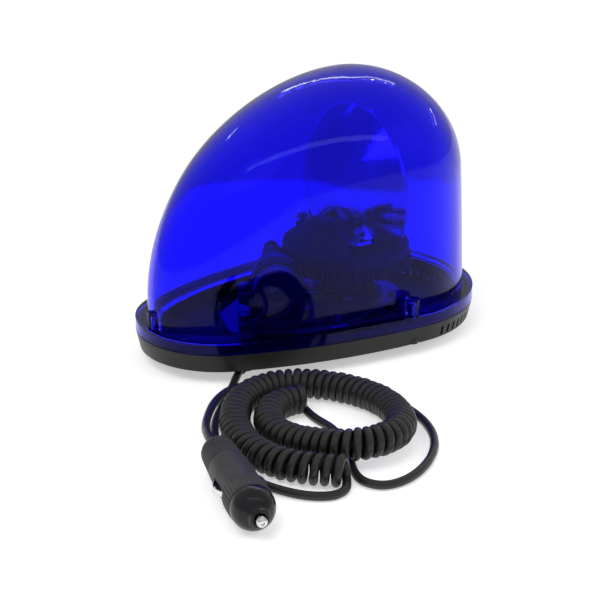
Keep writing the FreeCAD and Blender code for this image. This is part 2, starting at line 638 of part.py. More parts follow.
# ---- reflector ----
def dish_profile(vertex, rim_x, rim_r):
    """Parabola in the XZ plane from the vertex on the axis to the rim."""
    curve = Part.BezierCurve()
    curve.setPoles([V(vertex, 0, 0), V(vertex, 0, rim_r / 2), V(rim_x, 0, rim_r)])
    return curve.toShape()


def build_reflector():
    depth = DISH_R ** 2 / (4 * FOCAL)
    inner = dish_profile(0, depth, DISH_R)
    outer = dish_profile(-DISH_T, depth - DISH_T, DISH_R + DISH_T / 2)
    lip_out, lip_x = DISH_R + DISH_LIP, depth - DISH_T
    edges = [inner, Part.LineSegment(V(depth, 0, DISH_R), V(depth, 0, lip_out)).toShape(),
             Part.LineSegment(V(depth, 0, lip_out), V(lip_x, 0, lip_out)).toShape(),
             Part.LineSegment(V(lip_x, 0, lip_out), V(lip_x, 0, DISH_R + DISH_T / 2)).toShape(),
             outer, Part.LineSegment(V(-DISH_T, 0, 0), V(0, 0, 0)).toShape()]
    dish = Part.Face(Part.Wire(Part.__sortEdges__(edges))).revolve(V(0, 0, 0), V(1, 0, 0), 360)
    dish.translate(V(ROTOR_X - FOCAL, 0, DISH_Z))
    dish = dish.cut(Part.makeBox(200, 200, 100, V(-100, -100, DISH_FOOT_Z - 100)))
    low_r, low_z = TABLE_R - TABLE_EDGE_R, TABLE_DECK_Z
    fall = (CONE_TOP_Z - low_z) / (low_r - CONE_TOP_R)
    shadow = turned([(0, low_z - 1), (low_r + 1 / fall + SNUG, low_z - 1),
                     (CONE_TOP_R + SNUG, CONE_TOP_Z + SNUG), (0, CONE_TOP_Z + SNUG)])
    shadow.translate(V(ROTOR_X, 0, 0))
    for y in (LUG_Y, -LUG_Y):
        x0 = ROTOR_X + LUG_X
        rise = LUG_Z + SNUG + LUG_T / 2 - DISH_Z
        wall_x = ROTOR_X - FOCAL + (y * y + rise * rise) / (4 * FOCAL) - DISH_T / 2
        lug = Part.makeBox(wall_x - x0, LUG_W, LUG_T, V(x0, y - LUG_W / 2, LUG_Z + SNUG)).fuse(
            disc(LUG_W / 2, LUG_Z + SNUG, LUG_Z + SNUG + LUG_T, x0, y))
        bowl = dish_core(depth)
        dish = dish.fuse(lug.cut(bowl)).cut(disc(SMALL_SCREW_R + LOOSE, 0, 2 * LUG_Z, x0, y).common(
            disc(LUG_W, LUG_Z - 1, LUG_Z + 3, x0, y)))
    nodes["reflector"] = dish.cut(shadow).removeSplitter()
    nodes["reflector_screws"] = screws_at(
        [(ROTOR_X + LUG_X, y) for y in (LUG_Y, -LUG_Y)], LUG_Z + SNUG + LUG_T, shank=(SMALL_SCREW_R, LUG_T + 4))


def dish_core(depth):
    """The hollow inside the reflector, as a solid."""
    edges = [dish_profile(0, depth, DISH_R), Part.LineSegment(V(depth, 0, DISH_R), V(depth, 0, 0)).toShape(),
             Part.LineSegment(V(depth, 0, 0), V(0, 0, 0)).toShape()]
    core = Part.Face(Part.Wire(Part.__sortEdges__(edges))).revolve(V(0, 0, 0), V(1, 0, 0), 360)
    core.translate(V(ROTOR_X - FOCAL, 0, DISH_Z))
    return core


# ---- lamp: bayonet socket, contact and bulb ----
def build_lamp():
    x = ROTOR_X
    pin_z = FILAMENT_Z - PIN_TO_FILAMENT
    cap_z0 = SOCKET_TOP - 2.6 - CAP_L
    socket = disc(SOCKET_R, SPINDLE_TOP, SOCKET_TOP, x).cut(
        disc(SOCKET_R - SOCKET_T, SPINDLE_TOP + SOCKET_FLOOR, SOCKET_TOP + 1, x))
    socket = socket.cut(disc(CONTACT_R + 1.2, 0, SOCKET_TOP, x))
    slot_half = BAYONET_R + LOOSE
    for side in (1, -1):
        down = Part.makeBox(2 * slot_half, 4, SOCKET_TOP - pin_z + slot_half + 1, V(-slot_half, SOCKET_R - 2, pin_z - slot_half))
        across = Part.makeBox(4 + slot_half, 4, 2 * slot_half, V(-slot_half, SOCKET_R - 2, pin_z - slot_half))
        path = down.fuse(across)
        path.rotate(V(0, 0, 0), UP, 0 if side > 0 else 180)
        path.translate(V(x, 0, 0))
        socket = socket.cut(path)
    nodes["bulb_socket"] = socket.removeSplitter()
    nodes["socket_insulator"] = disc(SPINDLE_BORE - SNUG, SPINDLE_TOP - INSULATOR_L, SPINDLE_TOP, x).cut(
        disc(CONTACT_R + SNUG, 0, SOCKET_TOP, x))
    nodes["centre_contact"] = disc(CONTACT_R, SPINDLE_TOP - CONTACT_TAIL, cap_z0, x)
    cap = turned([(0, cap_z0), (2.2, cap_z0), (2.8, cap_z0 + 1.0), (CAP_R - 0.6, cap_z0 + 1.6), (CAP_R, cap_z0 + 2.2),
                  (CAP_R, cap_z0 + CAP_L), (0, cap_z0 + CAP_L)])
    pins = Part.makeCylinder(BAYONET_R, 2 * (CAP_R + BAYONET_OUT), V(0, -CAP_R - BAYONET_OUT, pin_z), V(0, 1, 0))
    cap = cap.fuse(pins)
    cap.translate(V(x, 0, 0))
    nodes["bulb_cap"] = cap.removeSplitter()
    build_bulb(x, cap_z0 + CAP_L)


def glass_wall(r, neck, foot_z):
    """Half outline of the bulb: neck, then a globe round the filament."""
    join = math.sqrt(r * r - neck * neck)
    start = V(neck, 0, FILAMENT_Z - join)
    return [Part.LineSegment(V(0, 0, foot_z), V(neck, 0, foot_z)).toShape(),
            Part.LineSegment(V(neck, 0, foot_z), start).toShape(),
            Part.Arc(start, V(r, 0, FILAMENT_Z), V(0, 0, FILAMENT_Z + r)).toShape(),
            Part.LineSegment(V(0, 0, FILAMENT_Z + r), V(0, 0, foot_z)).toShape()]


def build_bulb(x, foot_z):
    outer = Part.Face(Part.Wire(glass_wall(GLOBE_R, NECK_R, foot_z))).revolve(V(0, 0, 0), UP, 360)
    inner = Part.Face(Part.Wire(glass_wall(GLOBE_R - GLASS_T, NECK_R - GLASS_T, foot_z - 1))).revolve(V(0, 0, 0), UP, 360)
    glass = outer.cut(inner)
    glass.translate(V(x, 0, 0))
    nodes["bulb_glass"] = glass
    stem = turned([(0, foot_z), (2.6, foot_z), (1.6, foot_z + 3), (0, foot_z + 4)])
    wires = stem
    for y in (POST_Y, -POST_Y):
        bend = V(0, y * 0.3, foot_z + 2)
        lean = V(0, y, FILAMENT_Z) - bend
        wires = wires.fuse(Part.makeCylinder(POST_R, lean.Length + 0.3, bend, lean))
    wires = wires.fuse(Part.makeCylinder(COIL_R, 2 * POST_Y, V(0, -POST_Y, FILAMENT_Z), V(0, 1, 0)))
    wires.translate(V(x, 0, 0))
    nodes["bulb_filament"] = wires


# ---- drive ----
def drive_place(s, w=0.0, z=0.0):
    """Point beside the worm: s along the worm shaft towards the motor, w away from the rotor."""
    a = math.radians(WORM_AT)
    return V(ROTOR_X + (CENTRES + w) * math.cos(a) - s * math.sin(a),
             (CENTRES + w) * math.sin(a) + s * math.cos(a), WORM_Z + z)


def drive_frame(s):
    """Local Z along the shaft towards the motor, local X away from the rotor, local Y down."""
    a = math.radians(WORM_AT)
    return frame_at(drive_place(s), V(-math.sin(a), math.cos(a), 0), V(math.cos(a), math.sin(a), 0))


def worm_thread():
    """Right-handed thread of one start, cut off square at both ends of the worm."""
    slope = math.tan(math.radians(FLANK_ANGLE))
    half = (LEAD / 2 - BACKLASH) / 2
    r0, r1 = WORM_R - DEDENDUM - 0.3, WORM_R + ADDENDUM
    h0, h1 = half + (WORM_R - r0) * slope, half - ADDENDUM * slope
    turns = math.ceil(WORM_L / LEAD) + 1
    helix = Part.makeHelix(LEAD, turns * LEAD, WORM_R)
    tooth = Part.makePolygon([V(r0, 0, -h0), V(r1, 0, -h1), V(r1, 0, h1), V(r0, 0, h0), V(r0, 0, -h0)])
    thread = Part.Wire(helix).makePipeShell([tooth], True, True)
    thread.translate(V(0, 0, -turns * LEAD / 2))
    return thread


def build_worm():
    core = Part.makeCylinder(WORM_R - DEDENDUM, WORM_L, V(0, 0, -WORM_L / 2))
    thread = worm_thread()
    body = core.fuse(thread.common(Part.makeCylinder(2 * WORM_R, WORM_L - 1, V(0, 0, -(WORM_L - 1) / 2))))
    for end in (1, -1):
        foot = V(0, 0, end * WORM_L / 2)
        body = body.fuse(Part.makeCylinder(SHAFT_R + 1, 1.5, foot, V(0, 0, end)))
    body = body.cut(Part.makeCylinder(SHAFT_R + SNUG, 2 * WORM_L, V(0, 0, -WORM_L)))
    nodes["worm"] = moved(body, drive_frame(0))


def build_motor():
    front, rear = MOTOR_FROM, MOTOR_FROM + MOTOR_L
    inner = MOTOR_R - MOTOR_WALL
    here = drive_frame(0)
    nodes["motor_can"] = turned([
        (SHAFT_R + RUN, front - MOTOR_NECK_L), (MOTOR_NECK_R, front - MOTOR_NECK_L), (MOTOR_NECK_R, front),
        (MOTOR_R - 0.8, front), (MOTOR_R, front + 0.8), (MOTOR_R, rear), (inner, rear), (inner, front + MOTOR_WALL),
        (SHAFT_R + RUN, front + MOTOR_WALL)], here)
    cap = turned([
        (SHAFT_R + RUN, rear - 2), (inner - SNUG, rear - 2), (inner - SNUG, rear), (MOTOR_R, rear),
        (MOTOR_R - 0.4, rear + END_CAP_T), (MOTOR_NECK_R + 1, rear + END_CAP_T),
        (MOTOR_NECK_R, rear + END_CAP_T + 1.2), (0, rear + END_CAP_T + 1.2), (0, rear + END_CAP_T),
        (SHAFT_R + RUN, rear + END_CAP_T)])
    tabs = []
    for w in (TERMINAL_W, -TERMINAL_W):
        tabs.append(Part.makeBox(2.6, 0.6, TERMINAL_OUT - 0.5, V(w - 1.3, -0.3, rear + 0.5)))
    cap = cap.cut(Part.makeCompound(tabs))
    nodes["motor_end_cap"] = moved(cap, here)
    nodes["motor_terminals"] = moved(Part.makeCompound(tabs), here)
    mid = front + MOTOR_L / 2
    arcs = []
    for w in (1, -1):
        arc = Part.makeCylinder(inner - SNUG, ARMATURE_L + 2, V(0, 0, mid - ARMATURE_L / 2 - 1), UP, 120).cut(
            Part.makeCylinder(inner - SNUG - MAGNET_T, MOTOR_L, V(0, 0, front)))
        arc.rotate(V(0, 0, 0), UP, 30 if w > 0 else 210)
        arcs.append(arc)
    nodes["motor_magnets"] = moved(Part.makeCompound(arcs), here)
    armature = Part.makeCylinder(ARMATURE_R, ARMATURE_L, V(0, 0, mid - ARMATURE_L / 2))
    for k in range(3):
        gap = Part.makeBox(6, 2.0, ARMATURE_L, V(ARMATURE_R - 5.5, -1, mid - ARMATURE_L / 2))
        gap.rotate(V(0, 0, 0), UP, 120 * k)
        armature = armature.cut(gap)
    commutator = Part.makeCylinder(MOTOR_NECK_R, 2.5, V(0, 0, mid + ARMATURE_L / 2 + 0.5))
    spacer = Part.makeCylinder(MOTOR_NECK_R - 0.6, 1, V(0, 0, mid + ARMATURE_L / 2 - 0.2))
    armature = armature.fuse(spacer).fuse(commutator).cut(Part.makeCylinder(SHAFT_R + SNUG, 3 * MOTOR_L))
    nodes["motor_armature"] = moved(armature.removeSplitter(), here)
    start = BEARING_FROM - 0.8
    shaft = Part.makeCylinder(SHAFT_R, rear + END_CAP_T - AIR - start, V(0, 0, start))
    nodes["motor_shaft"] = moved(shaft, here)


def cradle_base_screws():
    mid = MOTOR_FROM + MOTOR_L / 2
    return [(p.x, p.y) for p in (drive_place(mid, CRADLE_SCREW_W), drive_place(mid, -CRADLE_SCREW_W))]


def across_drive(profile, s, length):
    """Extrusion along the shaft of a closed (w, z) outline of edges."""
    a = math.radians(WORM_AT)
    along = V(-math.sin(a), math.cos(a), 0)
    face = Part.Face(Part.Wire(profile))
    place = frame_at(drive_place(s, 0, -WORM_Z), along, V(math.cos(a), math.sin(a), 0))
    turned_up = FreeCAD.Placement(V(0, 0, 0), FreeCAD.Rotation(V(1, 0, 0), 180))
    solid = face.extrude(V(0, 0, 1) * length)
    flipped = FreeCAD.Matrix(1, 0, 0, 0, 0, -1, 0, 0, 0, 0, 1, 0, 0, 0, 0, 1)
    return moved(solid.transformGeometry(flipped), place)


def outline(points):
    """Line edges through (w, z) points."""
    return [Part.LineSegment(V(a[0], a[1], 0), V(b[0], b[1], 0)).toShape() for a, b in zip(points, points[1:])]


def build_mounts():
    mid = MOTOR_FROM + MOTOR_L / 2
    seat_r = MOTOR_R + SNUG
    half = math.sqrt(seat_r ** 2 - (WORM_Z - CRADLE_TOP) ** 2)
    foot, under = PLATE_TOP + CRADLE_FOOT_T, CRADLE_TOP - CRADLE_EAR_T
    rim = outline([(half, CRADLE_TOP), (CRADLE_HALF, CRADLE_TOP), (CRADLE_HALF, under), (CRADLE_WEB, under - 3),
                   (CRADLE_WEB, foot), (CRADLE_HALF, foot), (CRADLE_HALF, PLATE_TOP), (-CRADLE_HALF, PLATE_TOP),
                   (-CRADLE_HALF, foot), (-CRADLE_WEB, foot), (-CRADLE_WEB, under - 3), (-CRADLE_HALF, under), (-CRADLE_HALF, CRADLE_TOP), (-half, CRADLE_TOP)])
    saddle = Part.Arc(V(-half, CRADLE_TOP, 0), V(0, WORM_Z - seat_r, 0), V(half, CRADLE_TOP, 0)).toShape()
    cradle = across_drive(rim + [saddle], mid - CRADLE_L / 2, CRADLE_L)
    tops = [drive_place(mid, w, CRADLE_TOP - WORM_Z) for w in (STRAP_SCREW_W, -STRAP_SCREW_W)]
    for p in tops:
        cradle = cradle.cut(disc(SMALL_SCREW_R + SNUG, CRADLE_TOP - 8, CRADLE_TOP + 1, p.x, p.y))
    for x, y in cradle_base_screws():
        cradle = cradle.cut(disc(SMALL_SCREW_R + LOOSE, 0, foot + 1, x, y))
    nodes["motor_cradle"] = cradle
    nodes["cradle_screws"] = screws_at(cradle_base_screws(), foot, shank=(SMALL_SCREW_R, CRADLE_FOOT_T + PLATE_T + 2))
    out_r = seat_r + STRAP_T
    ear_z = CRADLE_TOP + STRAP_T
    half_out = math.sqrt(out_r ** 2 - (WORM_Z - ear_z) ** 2)
    band = [Part.Arc(V(half, CRADLE_TOP, 0), V(0, WORM_Z + seat_r, 0), V(-half, CRADLE_TOP, 0)).toShape()]
    band += outline([(-half, CRADLE_TOP), (-CRADLE_HALF, CRADLE_TOP), (-CRADLE_HALF, ear_z), (-half_out, ear_z)])
    band += [Part.Arc(V(-half_out, ear_z, 0), V(0, WORM_Z + out_r, 0), V(half_out, ear_z, 0)).toShape()]
    band += outline([(half_out, ear_z), (CRADLE_HALF, ear_z), (CRADLE_HALF, CRADLE_TOP), (half, CRADLE_TOP)])
    strap = across_drive(band, mid - STRAP_L / 2, STRAP_L)
    for p in tops:
        strap = strap.cut(disc(SMALL_SCREW_R + LOOSE, 0, 2 * CRADLE_TOP, p.x, p.y))
    nodes["motor_strap"] = strap
    nodes["strap_screws"] = screws_at([(p.x, p.y) for p in tops], ear_z, shank=(SMALL_SCREW_R, STRAP_T + 6))
    arch = outline([(BEARING_R, WORM_Z), (BEARING_R, PLATE_TOP + 3), (BEARING_R + 3, PLATE_TOP + 3),
                    (BEARING_R + 3, PLATE_TOP), (-BEARING_R - 3, PLATE_TOP), (-BEARING_R - 3, PLATE_TOP + 3),
                    (-BEARING_R, PLATE_TOP + 3), (-BEARING_R, WORM_Z)])
    crown = Part.Arc(V(-BEARING_R, WORM_Z, 0), V(0, WORM_Z + BEARING_R, 0), V(BEARING_R, WORM_Z, 0)).toShape()
    block = across_drive(arch + [crown], BEARING_FROM, BEARING_T)
    hole = Part.makeCylinder(SHAFT_R + RUN, BEARING_T + 2, V(0, 0, BEARING_FROM - 1))
    nodes["worm_bearing"] = block.cut(moved(hole, drive_frame(0)))


# ---- cord gland and wiring ----
def build_gland():
    x, y = GLAND_AT
    head = disc(GLAND_HEAD_R, EXIT_Z - GLAND_BOOT_R + 0.2, PAN_Z - SNUG, x, y)
    neck = disc(GLAND_NECK_R, PAN_Z - 1, PAN_TOP + 1, x, y)
    lock = disc(GLAND_HEAD_R, PAN_TOP + SNUG, PAN_TOP + GLAND_LOCK_T, x, y)
    boot = Part.makeCylinder(GLAND_BOOT_R, GLAND_BOOT_L, V(x, y, EXIT_Z), V(CORD_HEADING[0], CORD_HEADING[1], 0))
    nodes["cord_gland"] = head.fuse(boot).fuse(neck).fuse(lock).removeSplitter()


def build_wires():
    """Two leads from the gland to the motor tabs and one through the spindle to the lamp contact."""
    x, y = GLAND_AT
    start_z = PAN_TOP + GLAND_LOCK_T + SNUG
    tab_end = MOTOR_FROM + MOTOR_L + TERMINAL_OUT + WIRE_R + SNUG
    for name, w, side in (("motor_wire_a", TERMINAL_W, -1.6), ("motor_wire_b", -TERMINAL_W, 1.6)):
        tab = drive_place(tab_end, w)
        route = [(x + side, y - 1.5, start_z), (x + side, y - 1.5, start_z + 6), (x + side * 2, y - 2.5, start_z + 13),
                 (tab.x - 1.0, tab.y + 0.6, WORM_Z - 8), (tab.x, tab.y, WORM_Z + 1.2)]
        nodes[name] = cord(name, route, WIRE_R)
    low = PAN_TOP + WIRE_R + 1.9
    route = [(x, y + 2.4, start_z), (x, y + 2.4, start_z + 1.6), (x + 2.2, y + 4.6, low + 1.4),
             (x + 7, y + 8, low + 0.6), (x + 16, y + 10.5, low + 0.3), (x + 30, y + 12, low), (x + 45, y + 12.5, low + 0.2),
             (x + 58, y + 14.5, low), (x + 68, y + 18.2, low + 0.6), (ROTOR_X - 3.0, -1.4, low + 3.4),
             (ROTOR_X - 0.5, -0.2, low + 8.5), (ROTOR_X, 0.0, low + 15),
             (ROTOR_X, 0.0, SPINDLE_TOP - CONTACT_TAIL - SNUG)]
    nodes["lamp_wire"] = cord("lamp_wire", route, WIRE_R)


# ---- free cord ----
def build_cord():
    nodes["base_lead"] = cord("base_lead", BASE_LEAD_ROUTE, CORD_R)
    nodes["curly_cord"] = cord("curly_cord", COIL_ROUTE, COIL_OUT_R)
    nodes["plug_lead"] = cord("plug_lead", PLUG_LEAD_ROUTE, CORD_R)


# ---- lighter plug ----
def build_plug():
    here = frame_at(PLUG_AT, PLUG_HEADING, V(PLUG_HEADING.y, -PLUG_HEADING.x, 0))
    grip0 = RELIEF_L
    grip1 = grip0 + GRIP_L
    body1 = grip1 + BODY_L
    collar1 = body1 + COLLAR_L
    nose1 = collar1 + NOSE_L
    bore = TIP_HEAD_R + LOOSE
    nodes["plug_relief"] = turned([
        (0, 0), (CORD_R + 0.6, 0), (RELIEF_R, 1.6), (RELIEF_R, 4.2), (RELIEF_R - 0.8, grip0), (0, grip0)], here)
    pitch = (GRIP_L - 5) / GRIP_RINGS
    profile = [(0, grip0 + SNUG), (GRIP_R - 2.4, grip0 + SNUG), (GRIP_R - 0.6, grip0 + 1.4), (GRIP_R, grip0 + 3)]
    for k in range(GRIP_RINGS):
        z = grip0 + 3.6 + k * pitch
        r = GRIP_R + (BODY_R - GRIP_R) * k / GRIP_RINGS
        profile += [(r, z), (r - GRIP_GROOVE, z + 0.3), (r - GRIP_GROOVE, z + 0.9), (r, z + 1.2)]
    profile += [(BODY_R, grip1), (BODY_R, body1), (BODY_R - SHELL_T, body1), (BODY_R - SHELL_T, grip1), (0, grip1)]
    shell = turned(profile)
    window = Part.makeBox(4 * BODY_R, BOW_W + 2 * LOOSE, BOW_L + 2 * LOOSE,
                          V(-2 * BODY_R, -BOW_W / 2 - LOOSE, BOW_FROM - LOOSE))
    nodes["plug_body"] = moved(shell.cut(window), here)
    collar = turned([(BODY_R - SHELL_T, body1 + SNUG), (COLLAR_R - 0.4, body1 + SNUG), (COLLAR_R, body1 + 0.6),
                     (COLLAR_R, collar1 - 0.4), (COLLAR_R - 0.4, collar1), (BODY_R - SHELL_T, collar1)])
    nodes["plug_collar"] = moved(collar, here)
    nose = nose_solid(collar1 + SNUG, nose1)
    nose = nose.cut(Part.makeCylinder(TIP_R + LOOSE, 3 * NOSE_L, V(0, 0, collar1)))
    nose = nose.cut(Part.makeCylinder(bore, nose1 - 4 - collar1 + 1, V(0, 0, collar1 - 1)))
    nodes["plug_nose"] = moved(nose, here)
    fuse_z0, fuse_z1 = grip1 + SNUG, collar1 - 6
    nodes["plug_fuse"] = moved(Part.makeCylinder(TIP_HEAD_R - 0.4, fuse_z1 - fuse_z0, V(0, 0, fuse_z0)), here)
    shoulder = nose1 - 4 - TIP_REST
    head_z = shoulder - TIP_HEAD_L
    tip = turned([(0, head_z), (TIP_HEAD_R, head_z), (TIP_HEAD_R, shoulder), (TIP_R, shoulder),
                  (TIP_R, nose1 + TIP_OUT - 1.2), (TIP_R - 0.9, nose1 + TIP_OUT), (0, nose1 + TIP_OUT)])
    nodes["plug_tip"] = moved(tip, here)
    nodes["tip_spring"] = moved(tube(SPRING_R + SPRING_WIRE_R, SPRING_R - SPRING_WIRE_R, fuse_z1 + SNUG, head_z - SNUG), here)
    build_bows(here)


def nose_solid(z0, z1):
    """Rounded front cap of the plug."""
    r = PLUG_NOSE_R
    edges = [Part.LineSegment(V(0, 0, z0), V(r, 0, z0)).toShape(), Part.LineSegment(V(r, 0, z0), V(r, 0, z0 + 4.5)).toShape(),
             Part.Arc(V(r, 0, z0 + 4.5), V(r * 0.83, 0, z0 + 8.9), V(r * 0.55, 0, z1)).toShape(),
             Part.LineSegment(V(r * 0.55, 0, z1), V(0, 0, z1)).toShape(), Part.LineSegment(V(0, 0, z1), V(0, 0, z0)).toShape()]
    return Part.Face(Part.Wire(edges)).revolve(V(0, 0, 0), UP, 360)


def build_bows(here):
    """The two sprung side contacts, each a shallow bow that stands out of its window."""
    for name, turn in (("side_contact_a", 0), ("side_contact_b", 180)):
        x_in = BODY_R - SHELL_T + LOOSE
        z0, z1 = BOW_FROM, BOW_FROM + BOW_L
        mid = (z0 + z1) / 2
        peak = BODY_R + BOW_OUT
        front = Part.Arc(V(x_in + 0.6, 0, z0), V(peak, 0, mid), V(x_in + 0.6, 0, z1)).toShape()
        back = Part.Arc(V(x_in, 0, z1), V(peak - BOW_T, 0, mid), V(x_in, 0, z0)).toShape()
        ends = [Part.LineSegment(V(x_in + 0.6, 0, z1), V(x_in, 0, z1)).toShape(),
                Part.LineSegment(V(x_in, 0, z0), V(x_in + 0.6, 0, z0)).toShape()]
        face = Part.Face(Part.Wire([front, ends[0], back, ends[1]]))
        bow = face.extrude(V(0, BOW_W, 0))
        bow.translate(V(0, -BOW_W / 2, 0))
        bow.rotate(V(0, 0, 0), UP, turn)
        nodes[name] = moved(bow, here)


def main():
    build_magnet_foot()
    build_pan()
    build_lens()
    build_chassis()
    build_spindle()
    build_turntable()
    build_reflector()
    build_lamp()
    build_worm()
    build_motor()
    build_mounts()
    build_gland()
    build_wires()
    build_cord()
    build_plug()
    os.makedirs("parts", exist_ok=True)
    for name, shape in nodes.items():
        solids = len(shape.Solids)
        box = shape.BoundBox
        print(f"{name:18s} solids {solids} valid {shape.isValid()} volume {shape.Volume:10.1f} "
              f"x {box.XMin:.1f}..{box.XMax:.1f} y {box.YMin:.1f}..{box.YMax:.1f} z {box.ZMin:.2f}..{box.ZMax:.2f}")
        shape.exportStep(f"parts/{name}.step")


main()
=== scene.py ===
"""Looks of the rotating beacon: materials, curly cord, plug, screw caps, floor, camera and light."""

import json
import math

import bmesh
import bpy
from mathutils import Matrix, Vector


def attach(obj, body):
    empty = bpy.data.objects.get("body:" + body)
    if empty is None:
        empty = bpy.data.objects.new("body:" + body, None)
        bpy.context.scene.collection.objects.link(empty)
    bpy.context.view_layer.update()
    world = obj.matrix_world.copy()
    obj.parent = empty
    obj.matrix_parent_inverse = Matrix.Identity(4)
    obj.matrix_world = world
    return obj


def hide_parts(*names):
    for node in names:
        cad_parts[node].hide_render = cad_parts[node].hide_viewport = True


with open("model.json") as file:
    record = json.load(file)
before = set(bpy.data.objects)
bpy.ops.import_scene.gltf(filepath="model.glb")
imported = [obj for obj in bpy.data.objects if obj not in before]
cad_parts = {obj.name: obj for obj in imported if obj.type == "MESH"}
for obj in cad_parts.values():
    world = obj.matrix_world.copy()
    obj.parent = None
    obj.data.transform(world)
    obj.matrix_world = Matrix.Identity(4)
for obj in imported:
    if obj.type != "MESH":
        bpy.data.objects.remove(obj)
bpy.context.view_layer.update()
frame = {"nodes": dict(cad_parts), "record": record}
nodes = frame["nodes"]
slot_of = {part["node"]: part["material_slot"] for part in frame["record"]["subparts"]}
mm = 0.001
HOUSING = "housing"


def add_object(name, data):
    obj = bpy.data.objects.new(name, data)
    bpy.context.scene.collection.objects.link(obj)
    return obj


# ---- node helpers ----
class Graph:
    """A material's node tree with one Principled shader and short calls to add to it."""

    def __init__(self, name):
        self.material = bpy.data.materials.new(name)
        self.material.use_nodes = True
        self.tree = self.material.node_tree
        self.tree.nodes.clear()
        self.out = self.add("ShaderNodeOutputMaterial")
        self.shader = self.add("ShaderNodeBsdfPrincipled")
        self.join(self.shader.outputs[0], self.out.inputs[0])
        self.place = self.add("ShaderNodeTexCoord").outputs["Object"]

    def add(self, kind, **values):
        node = self.tree.nodes.new(kind)
        for key, value in values.items():
            setattr(node, key, value)
        return node

    def join(self, a, b):
        self.tree.links.new(a, b)

    def set(self, **values):
        for key, value in values.items():
            self.shader.inputs[key.replace("_", " ")].default_value = value

    def noise(self, scale, detail=4.0, stretch=(1, 1, 1), rough=0.55):
        """Noise in the object's own metres: scale is in waves per metre."""
        mapping = self.add("ShaderNodeMapping")
        mapping.inputs["Scale"].default_value = stretch
        self.join(self.place, mapping.inputs["Vector"])
        node = self.add("ShaderNodeTexNoise")
        node.inputs["Scale"].default_value = scale
        node.inputs["Detail"].default_value = detail
        node.inputs["Roughness"].default_value = rough
        self.join(mapping.outputs[0], node.inputs["Vector"])
        return node.outputs["Fac"]

    def spread(self, value, low, high, to_low, to_high):
        """Maps the range from low to high onto the range from to_low to to_high."""
        node = self.add("ShaderNodeMapRange")
        for k, number in enumerate((low, high, to_low, to_high)):
            node.inputs[k + 1].default_value = number
        self.join(value, node.inputs[0])
        return node.outputs[0]

    def math(self, operation, a, b):
        node = self.add("ShaderNodeMath", operation=operation)
        for socket, value in zip(node.inputs, (a, b)):
            if isinstance(value, (int, float)):
                socket.default_value = value
            else:
                self.join(value, socket)
        return node.outputs[0]

    def blend(self, amount, a, b):
        node = self.add("ShaderNodeMix", data_type="RGBA")
        self.join(amount, node.inputs[0])
        for socket, value in ((node.inputs[6], a), (node.inputs[7], b)):
            if isinstance(value, tuple):
                socket.default_value = (*value, 1.0)
            else:
                self.join(value, socket)
        return node.outputs[2]

    def bump(self, height, depth, strength=1.0, normal=None):
        node = self.add("ShaderNodeBump")
        node.inputs["Strength"].default_value = strength
        node.inputs["Distance"].default_value = depth
        self.join(height, node.inputs["Height"])
        if normal is not None:
            self.join(normal, node.inputs["Normal"])
        return node.outputs[0]

    def edges(self, radius):
        """Rounded normal and a mask that is 1 on sharp edges."""
        bevel = self.add("ShaderNodeBevel", samples=4)
        bevel.inputs["Radius"].default_value = radius
        geometry = self.add("ShaderNodeNewGeometry")
        dot = self.add("ShaderNodeVectorMath", operation="DOT_PRODUCT")
        self.join(bevel.outputs[0], dot.inputs[0])
        self.join(geometry.outputs["Normal"], dot.inputs[1])
        return bevel.outputs[0], self.spread(dot.outputs["Value"], 0.98, 0.80, 0.0, 1.0)


def tone(colour, factor):
    """The colour made darker or lighter by that factor."""
    return tuple(min(1.0, c * factor) for c in colour)


SCUFF_SCALE = 420.0
SCUFF_STRENGTH = 0.8
BRUSH_SCALE = 500.0


def plastic(name, colour, rough=0.45, grain=1400.0, grain_depth=0.00004, wear=1.5, mottle=60.0,
            edge=0.0003, **extra):
    """Moulded plastic or rubber: fine grain, cloudy gloss, paler rubbed edges."""
    g = Graph(name)
    cloud = g.noise(mottle, 5.0)
    base = g.blend(g.spread(cloud, 0.3, 0.7, 0.0, 1.0), tone(colour, 0.88), tone(colour, 1.14))
    normal, worn = g.edges(edge)
    scuff = g.spread(g.noise(SCUFF_SCALE, 6.0, (1, 1, 3)), 0.45, 0.7, 0.0, 1.0)
    worn = g.math("MULTIPLY", worn, g.math("MULTIPLY", scuff, SCUFF_STRENGTH))
    g.join(g.blend(worn, base, tone(colour, wear)), g.shader.inputs["Base Color"])
    patch = g.noise(mottle * 2.3, 4.0)
    g.join(g.spread(patch, 0.3, 0.7, rough - 0.06, rough + 0.08), g.shader.inputs["Roughness"])
    g.join(g.bump(g.noise(grain, 2.0), grain_depth, 0.6, normal), g.shader.inputs["Normal"])
    g.set(**extra)
    return g.material


def metal(name, colour, rough=0.28, brushed=(1, 1, 12), wear=1.15, edge=0.0002):
    """Plated or bare metal: drawn lines, cloudy roughness, brighter edges."""
    g = Graph(name)
    lines = g.noise(BRUSH_SCALE, 3.0, brushed)
    cloud = g.noise(45.0, 5.0)
    base = g.blend(g.spread(cloud, 0.3, 0.7, 0.0, 1.0), tone(colour, 0.86), tone(colour, 1.05))
    normal, worn = g.edges(edge)
    g.join(g.blend(worn, base, tone(colour, wear)), g.shader.inputs["Base Color"])
    g.join(g.spread(lines, 0.3, 0.7, rough - 0.08, rough + 0.1), g.shader.inputs["Roughness"])
    g.join(g.bump(lines, 0.00001, 0.5, normal), g.shader.inputs["Normal"])
    g.set(Metallic=1.0)
    return g.material


RIM_TONE = 0.32


